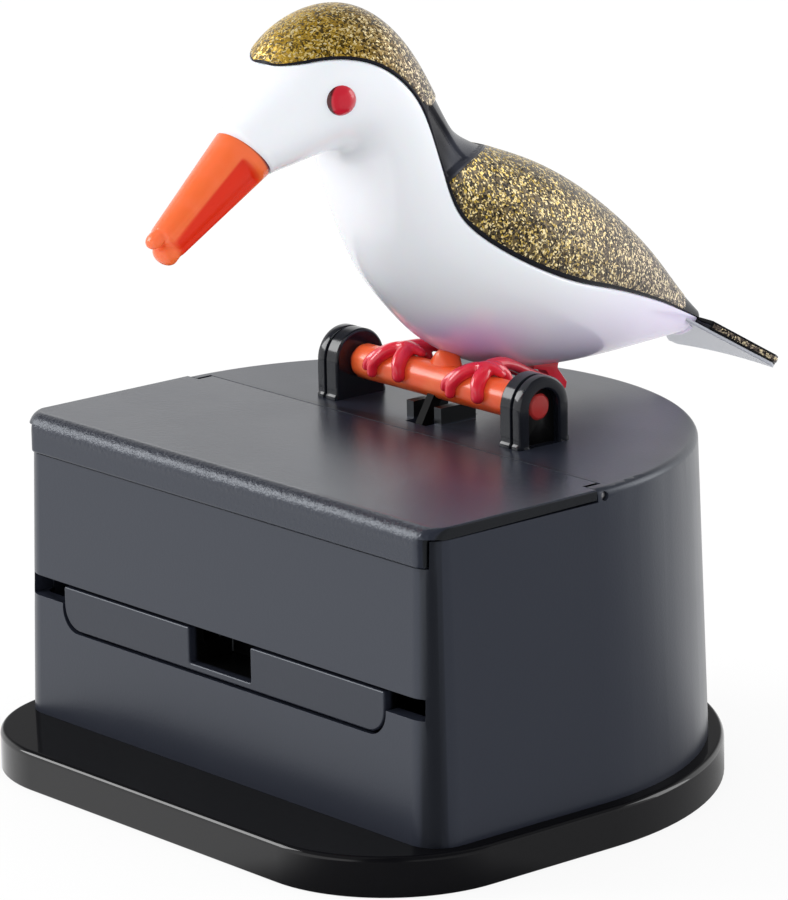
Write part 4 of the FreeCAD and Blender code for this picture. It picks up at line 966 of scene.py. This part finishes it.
class BuildBird(bpy.types.Operator):
    """Make the bird's white and dark shells and its gold panels"""

    bl_idname = "dispenser.bird"
    bl_label = "Bird"

    def execute(self, context):
        bird = context.scene.dispenser_bird
        sheets = (("bird_white", white_sheet(), bird.shell, "white", "white_plastic", "bird_body"),
                  ("bird_dark", dark_sheet(), bird.shell, "dark", "neck_plastic", "bird_back"),
                  ("gold_crown", crown_sheet(bird.rim), bird.inlay, "crown", "gold_glitter", "crown_panel"),
                  ("gold_wing", wing_sheet(bird.rim), bird.inlay, "wing", "gold_glitter", "back_panel"))
        for name, sheet, thickness, finish, slot, node in sheets:
            shell = mesh_piece(name, [sheet])
            thicken(shell, thickness)
            wear(shell, Finishes.made[finish], "bird", slot, node)
        return {"FINISHED"}


def cap_places():
    """Section numbers past the last section, closer towards the pole of the round cap."""
    return LAST + np.sin(steps(0, np.pi / 2, 8))


def forehead_places(count):
    """Section numbers from the seam's start to SEAM_FROM, closer where the seam opens."""
    return SEAM_START + (SEAM_FROM - SEAM_START) * steps(0, 1, count)[:-1] ** 2


def white_sheet():
    """Below the seam: the angle runs from the seam round under the belly to the other seam. The border
    is rolled in a little, where the dark shell meets it."""
    place = np.concatenate([-np.cos(steps(0, np.pi / 2, 10))[:-1], steps(0, SEAM_START, 20)[:-1],
                            forehead_places(24), steps(SEAM_FROM, LAST, 150)[:-1], cap_places()])[:, None]
    share = steps(0, 1, 97)[None]
    edge = seam_angle(place)
    angle = edge + share * (2 * np.pi - 2 * edge)
    border = np.minimum(share, 1 - share) * (2 * np.pi - 2 * edge) * USUAL_RADIUS
    drop = np.where(place > SEAM_START, -BORDER_FALL * (1 - smooth(border / 0.35)), 0.0)
    return bird_surface(place + 0 * share, angle, drop)


def dark_sheet():
    """Above the seam, with a sunk facet on each side of the neck and a step up to the wing."""
    place = np.concatenate([forehead_places(20), steps(SEAM_FROM, 5, 40)[:-1], steps(5, 9.5, 130)[:-1],
                            steps(9.5, LAST, 80)[:-1], cap_places()])[:, None]
    share = steps(-1, 1, 161)[None]
    angle = share * seam_angle(place)
    return bird_surface(place + 0 * share, angle, dark_lift(place, np.abs(angle)))


def crown_sheet(rim):
    """The cap: from the forehead to a shallow point at the nape, kept a rim inside the seam."""
    share = steps(-1, 1, 81)[None]
    start, end = SEAM_START + 0.07, CROWN_END + CROWN_POINT * np.sqrt(1 - np.abs(share))
    fine = 0.12
    along = np.concatenate([steps(0, 1, 26)[:-1] ** 2 * fine, steps(fine, 1, 90)])[:, None]
    place = start + along * (end - start)
    edge = np.maximum(seam_angle(place) - rim * RIM_SHOWN / USUAL_RADIUS, 0.0)
    return panel_surface(place, share, edge, along)


def wing_sheet(rim):
    """The back: from the wing's front edge to the tail, kept a rim inside the seam."""
    share = steps(-1, 1, 101)[None]
    along = steps(0, 1, 170)[:, None]
    start = wing_start(np.abs(share)) + 0.05
    place = start + along * (LAST - 0.75 - start)
    edge = seam_angle(place) - rim * RIM_SHOWN / BACK_RADIUS
    return panel_surface(place, share, edge, along)


def wing_start(share):
    """Section number of the wing's front edge at a share of the way from the top to the seam."""
    return spline(WING_START, np.clip(share, 0, 1) * (len(WING_START) - 1))


def dark_lift(place, angle):
    """Height of the dark shell over the bird's own surface: a little raised, less a sunk facet beside
    the neck's ridge, a valley before the wing and the rounding at the seam."""
    edge = seam_angle(place)
    share = np.clip(angle / np.maximum(edge, 1e-3), 0, 1)
    front = wing_start(share)
    ridge = np.radians(spline(RIDGE_ANGLES, np.clip(place - RIDGE_FROM, 0, len(RIDGE_ANGLES) - 1)))
    side = smooth((angle - ridge) / 0.05) * smooth((edge - 0.075 - angle) / 0.04)
    length = smooth((place - FACET_FROM) / 0.12) * smooth((front - 0.05 - place) / 0.08)
    valley = smooth((place - VALLEY_FROM) / 1.2) * smooth((front - place) / 0.08)
    rounding = 1 - np.sqrt(np.clip(1 - smooth((share - 0.975) / 0.025) ** 2, 0, 1))
    return DARK_RAISED - FACET_DEPTH * side * length - VALLEY_DEPTH * valley - BORDER_FALL * rounding


def panel_surface(place, share, edge, along):
    """A gold panel: raised a little, its border rolled down into the dark shell."""
    near = np.minimum(1 - np.abs(share), 1.0) * np.maximum(edge, 1e-3) * USUAL_RADIUS
    ends = np.minimum(along, 1 - along) * 60.0
    border = smooth(np.minimum(near, ends) / 0.3)
    lift = PANEL_RAISED + BORDER_FALL * (border - 1) + PANEL_CUSHION * border
    return bird_surface(place, share * edge, lift)


class BuildHead(bpy.types.Operator):
    """Make the beak and the eyes"""

    bl_idname = "dispenser.head"
    bl_label = "Head"

    def execute(self, context):
        made = Finishes.made
        beak = mesh_piece("beak_horn", [horn(), *prongs()], wrap=True)
        wear(beak, made["beak"], "bird", "orange_plastic", "beak")
        make_one(beak, 0.11, 4)
        for side, name in ((-1, "left"), (1, "right")):
            eye = mesh_piece(f"eye_bead_{name}", [bead(side)], wrap=True)
            wear(eye, made["eye"], "bird", "red_plastic", f"eye_{name}")
        return {"FINISHED"}


def along_beak(reach, across, up):
    """Rings in millimetres from their reach along the beak's axis, and across and above it; the first
    is closed in its middle."""
    ahead, above = np.array(BEAK_AHEAD), np.array(BEAK_ABOVE)
    points = (np.array(BEAK_START) + ahead * np.asarray(reach)[:, None, None] + above * up[..., None]
              + np.array([1.0, 0.0, 0.0]) * across[..., None])
    first = points[:1].mean(axis=1, keepdims=True).repeat(points.shape[1], 1)
    return np.concatenate([first, points])


def horn():
    """A round section carried along the beak's axis, narrowing, its end rounded over, with a flat
    channel sunk into each side from just outside the head to the end."""
    first, last, channel_start, channel_depth = -1.2, 15.3, 2.0, 0.19
    reach = np.concatenate([steps(first, last, 90)[:-1], last + 1 - np.cos(steps(0, np.pi / 2, 10))])
    turn = full_turn(144)
    end = np.sqrt(np.clip(1 - np.clip(reach - last, 0, 1) ** 2, 0.0, 1))
    radius = BEAK_RADIUS - BEAK_TAPER * reach
    lift = 0.1 + 0.031 * reach
    aside = np.degrees(np.arctan2(np.sin(turn), np.abs(np.cos(turn))))
    channel = np.exp(-((aside + 6.0) / 37.0) ** 6)
    sunk = channel[None] * smooth((reach - channel_start) / 0.9)[:, None]
    size = radius[:, None] * (1 - channel_depth * sunk) * end[:, None]
    return along_beak(reach, size * np.cos(turn), size * np.sin(turn) + lift[:, None])


def prongs():
    """Two round-ended tongues side by side, one above the other, that pinch the pick. Each is a height
    above the beak's axis, a half width and a flatness."""
    start, end, cap = 12.5, 16.6, 1.1
    turn = full_turn(48)
    bend = steps(0, np.pi / 2, 9)[1:]
    along = np.concatenate([[start], steps(start, end, 30), end + cap * np.sin(bend)])
    size = np.concatenate([[0.0], steps(0.9, 1.0, 30), np.cos(bend)])
    rise = np.interp(along, (start, 16.0), (0.7, 1.0))
    sheets = []
    for above, wide, flat in ((2.12, 1.20, 0.72), (-0.25, 1.75, 0.86)):
        across = (size * wide)[:, None] * np.cos(turn)
        up = (size * wide * flat)[:, None] * np.sin(turn) + (above * rise)[:, None]
        sheets.append(along_beak(along, across, up))
    return sheets


def bead(side):
    """A ball slightly flattened towards the head."""
    low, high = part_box("eye_right")
    centre = (low + high) / 2 / MM + EYE_SHIFT
    turn, rise = np.meshgrid(full_turn(48), steps(0, np.pi, 25))
    ball = np.stack([np.cos(rise), np.sin(rise) * np.cos(turn), np.sin(rise) * np.sin(turn)], -1)
    return ball * EYE_HALF + (side * centre.x, centre.y, centre.z)


class BuildFeet(bpy.types.Operator):
    """Make the two feet that grip the perch, and finish the fin behind them"""

    bl_idname = "dispenser.feet"
    bl_label = "Feet"

    def execute(self, context):
        for side, name in ((-1, "left"), (1, "right")):
            claw = mesh_piece(f"claw_{name}", foot(side), wrap=True)
            wear(claw, Finishes.made["red"], "bird", "red_plastic", f"foot_{name}")
            make_one(claw, 0.12, 3)
        dress("rest_fin", Finishes.made["red"], 0.2)
        return {"FINISHED"}


# A foot's limbs, from its middle: five knots (x, y, z), the radii at start, middle and end, and how
# flat it is. Two toes side by side, a wider one, a short one behind the rod, and the palm.
LIMBS = (
    (((-4.6, -2.4, 47.6), (-4.2, -2.35, 48.4), (-3.1, -1.7, 49.4), (-1.8, -0.5, 50.1), (-0.2, 0.5, 50.2)),
     (0.50, 0.64, 0.85), 1.0),
    (((-3.4, -2.5, 47.1), (-3.2, -2.45, 48.1), (-2.5, -2.0, 49.1), (-1.5, -0.9, 50.0), (0.0, 0.5, 50.2)),
     (0.66, 0.78, 1.0), 1.0),
    (((1.6, -2.5, 47.6), (1.5, -2.4, 48.4), (1.2, -1.9, 49.3), (0.8, -0.8, 50.0), (0.2, 0.6, 50.2)),
     (0.92, 0.96, 1.05), 0.9),
    (((0.8, 3.1, 48.3), (0.7, 2.8, 49.1), (0.5, 2.1, 49.8), (0.3, 1.2, 50.2), (0.0, 0.4, 50.2)),
     (0.70, 0.85, 1.0), 1.0),
    (((-1.8, -0.2, 50.0), (-0.8, 0.1, 50.3), (0.0, 0.4, 50.4), (0.8, 0.7, 50.3), (1.5, 1.0, 50.0)),
     (0.95, 1.45, 1.0), 0.58),
)
# The long toe back to the fin: the share of its way inwards, y and z at its knots, and its radii.
SHANK = ((0.0, 0.3, 50.4), (0.18, 3.8, 50.2), (0.48, 8.0, 48.6), (0.79, 12.4, 46.5), (1.0, 16.2, 44.9))
SHANK_RADII = (0.95, 0.80, 0.62)
# Where the feet stand across the object, left and right, and where the long toes end beside the fin.
FOOT_PLACES = {-1: -6.6, 1: 8.0}
SHANK_END = 1.8


def limb(knots, radii, flat):
    """A tube along a spline through five knots, its radius between those at start, middle and end."""
    count = 34
    radius = np.interp(steps(0, 1, count), (0, 0.5, 1), radii)
    return tube(spline(np.array(knots), steps(0, 4, count)), radius, flat=flat)


def foot(side):
    """A palm on the rod, three toes over its front, one behind it, and one back to the fin."""
    centre = FOOT_PLACES[side]
    sheets = [limb(np.array(knots) + (centre, 0, 0), radii, flat) for knots, radii, flat in LIMBS]
    share, back, height = np.array(SHANK).T
    shank = np.stack([centre + (side * SHANK_END - centre) * share, back, height], -1)
    return [*sheets, limb(shank, SHANK_RADII, 0.9)]


class BuildTail(bpy.types.Operator):
    """Make the fan of the tail: a white underside painted pale grey as painted shade, a dark edge and a gold
    top
    """

    bl_idname = "dispenser.tail"
    bl_label = "Tail"

    def execute(self, context):
        for name, finish, slot, lift, start, wide, thickness, *replaced in TAIL_LAYERS:
            layer = mesh_piece(name, [fan(lift, start, wide)])
            thicken(layer, thickness)
            wear(layer, Finishes.made[finish], "bird", slot, *replaced)
        return {"FINISHED"}


# The tail's layers: name, finish, slot, how far each is raised and starts back, its share of the fan's
# width and its thickness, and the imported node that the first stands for.
TAIL_LAYERS = (
    ("tail_plate", "pale", "white_plastic", 0.15, 0.0, 0.99, 0.42, "tail"),
    ("tail_edge", "rim", "neck_plastic", 1.25, 3.2, 1.0, 1.15),
    ("tail_side", "wing", "gold_glitter", 0.98, 3.4, 1.012, 0.58),
    ("tail_gold", "wing", "gold_glitter", 1.33, 3.6, 0.90, 0.2),
)
# The fan: its length, how much shorter its sides are and from which share of its half width on, its
# first and last half width, where it starts, how far it falls for each millimetre back, and its slope.
FAN_LENGTH = 10.6
FAN_CORNER, FAN_CORNER_FROM = 0.9, 0.86
FAN_HALF = (2.5, 10.2)
FAN_START = (37.2, 49.9)
FAN_FALL = 0.68
FAN_SLOPE = math.radians(34)


def fan(lift, start, wide):
    """A fan that widens from the body to the trailing edge and arches down to its sides; lift
    raises it square to itself, start moves its front edge back, and its rear corners are round."""
    along = steps(0, 1, 40)[:, None]
    share = steps(-1, 1, 49)[None]
    length = FAN_LENGTH - FAN_CORNER * smooth((np.abs(share) - FAN_CORNER_FROM) / (1 - FAN_CORNER_FROM))
    back = start + along * (length - start)
    half = (FAN_HALF[0] + (FAN_HALF[1] - FAN_HALF[0]) * back / FAN_LENGTH) * wide
    y = FAN_START[0] + back
    z = FAN_START[1] - FAN_FALL * back - 0.3 * share ** 2 * (0.3 + along)
    return np.stack([share * half, y + lift * math.sin(FAN_SLOPE) + 0 * share,
                     z + lift * math.cos(FAN_SLOPE)], -1)


# The lamps: name, place and size in metres; the settings give their power.
LAMPS = (("key", (-0.66, -0.50, 0.50), (0.45, 0.46)),
         ("rim", (0.30, 0.72, 0.30), (0.30, 0.5)))
# What the lamps are aimed at, in metres.
MIDDLE = (0, 0, 0.05)
# The floor: how far it lies below the object, its rings' radii, and the share of its own light in what
# the camera and mirrors see of it; the rest is lit, and carries the shadow.
FLOOR_DROP = 0.05
FLOOR_RADII = (0.0, 200.0, 1500.0, 9000.0)
FLOOR_SEEN = 0.87
FLOOR_MIRRORED = 0.95


class BuildStage(bpy.types.Operator):
    """Make the floor, the lamps, the sky and the camera"""

    bl_idname = "dispenser.stage"
    bl_label = "Stage"

    def execute(self, context):
        scene = context.scene
        stage = scene.dispenser_stage
        scene.view_settings.view_transform = "Standard"
        self.sky(scene, stage)
        self.floor(stage)
        for name, place, size in LAMPS:
            self.lamp(f"{name}_lamp", place, size, getattr(stage, name))
        self.camera(scene, stage)
        return {"FINISHED"}

    @staticmethod
    def sky(scene, stage):
        """An even sky, plain white where it is seen; in mirrors it is dim at the right and overhead."""
        sky = Sky("studio")
        high = sky.part(sky.place, "z")
        mirrored = sky.mirrored(sky.place, stage.dim) * high.ramp(0.40, 0.62, 1.0, stage.roof)
        seen = sky.node("LightPath", {}, {}, output="Is Camera Ray")
        glossy = sky.node("LightPath", {}, {}, output="Is Glossy Ray")
        clear = sky.node("LightPath", {}, {}, output="Is Transmission Ray")
        strength = stage.sky + (seen + clear) * (1 - stage.sky) + glossy * (mirrored - stage.sky)
        sky.tree.links.new(strength.socket, sky.tree.nodes["Background"].inputs["Strength"])
        scene.world = sky.world

    @staticmethod
    def floor(stage):
        """A wide plain disc, white to the camera, with the shadow left on it; mirrors see it like the sky."""
        turn, radii = np.meshgrid(full_turn(96), FLOOR_RADII)
        disc = np.stack([radii * np.cos(turn), radii * np.sin(turn), 0 * turn - FLOOR_DROP], -1)
        floor = mesh_piece("floor", [disc], wrap=True)
        finish = Finish("floor_paper", (0.93, 0.93, 0.93), 0.9, Specular_IOR_Level=0.1)
        tree = finish.tree
        seen = finish.node("LightPath", {}, {}, output="Is Camera Ray")
        glossy = finish.node("LightPath", {}, {}, output="Is Glossy Ray")
        level = finish.mirrored(finish.place, stage.dim)
        shade = finish.mix(glossy, Vector((1, 1, 1)), finish.grey(level))
        glow = tree.nodes.new("ShaderNodeEmission")
        tree.links.new(shade.socket, glow.inputs["Color"])
        blend = tree.nodes.new("ShaderNodeMixShader")
        share = seen * FLOOR_SEEN + glossy * FLOOR_MIRRORED
        tree.links.new(share.socket, blend.inputs[0])
        tree.links.new(finish.shader.outputs[0], blend.inputs[1])
        tree.links.new(glow.outputs[0], blend.inputs[2])
        tree.links.new(blend.outputs[0], tree.nodes["Material Output"].inputs[0])
        floor.data.materials.append(finish.material)
        if floor.data.polygons[0].normal.z < 0:
            floor.data.flip_normals()

    @staticmethod
    def lamp(name, place, size, power):
        """An area lamp aimed at the middle of the object."""
        data = bpy.data.lights.new(name, "AREA")
        data.shape = "RECTANGLE"
        data.size, data.size_y = size
        data.energy = power
        lamp = bpy.data.objects.new(name, data)
        lamp.location = place
        aim = Vector(MIDDLE) - lamp.location
        lamp.rotation_euler = aim.to_track_quat("-Z", "Y").to_euler()
        bpy.context.scene.collection.objects.link(lamp)

    @staticmethod
    def camera(scene, stage):
        """A long lens on the object from the front right, a little above it."""
        azimuth, elevation, roll = map(math.radians, (stage.azimuth, stage.elevation, stage.roll))
        back = Vector((math.sin(azimuth) * math.cos(elevation), -math.cos(azimuth) * math.cos(elevation),
                       math.sin(elevation)))
        right = Vector((math.cos(azimuth), math.sin(azimuth), 0))
        up = back.cross(right)
        turned_right = right * math.cos(roll) + up * math.sin(roll)
        turned_up = up * math.cos(roll) - right * math.sin(roll)
        data = bpy.data.cameras.new("camera")
        data.lens = stage.lens
        data.clip_start, data.clip_end = 0.05, 50.0
        camera = bpy.data.objects.new("camera", data)
        turn = Matrix((turned_right, turned_up, back)).transposed().to_4x4()
        turn.translation = Vector(stage.target) * MM + back * stage.distance * MM
        camera.matrix_world = turn
        scene.collection.objects.link(camera)
        scene.camera = camera


class DispenserPanel(bpy.types.Panel):
    """The dispenser's settings and operators in the sidebar"""

    bl_label = "Toothpick dispenser"
    bl_idname = "VIEW3D_PT_dispenser"
    bl_space_type = "VIEW_3D"
    bl_region_type = "UI"
    bl_category = "Dispenser"

    def draw(self, context):
        for name in ("dispenser_box", "dispenser_bird", "dispenser_stage"):
            column = self.layout.column()
            group = getattr(context.scene, name)
            for key in group.__annotations__:
                column.prop(group, key)
        for operator in OPERATORS:
            self.layout.operator(operator.bl_idname)


GROUPS = {"dispenser_box": DispenserBox, "dispenser_bird": DispenserBird, "dispenser_stage": DispenserStage}
OPERATORS = (BuildBox, BuildPerch, BuildBird, BuildHead, BuildFeet, BuildTail, BuildStage)


def register():
    for item in (*GROUPS.values(), *OPERATORS, DispenserPanel):
        bpy.utils.register_class(item)
    for name, group in GROUPS.items():
        setattr(bpy.types.Scene, name, bpy.props.PointerProperty(type=group))


def unregister():
    for name in GROUPS:
        delattr(bpy.types.Scene, name)
    for item in reversed((*GROUPS.values(), *OPERATORS, DispenserPanel)):
        bpy.utils.unregister_class(item)


def main():
    register()
    for operator in OPERATORS:
        group, name = operator.bl_idname.split(".")
        getattr(getattr(bpy.ops, group), name)()


if __name__ == "__main__":
    main()
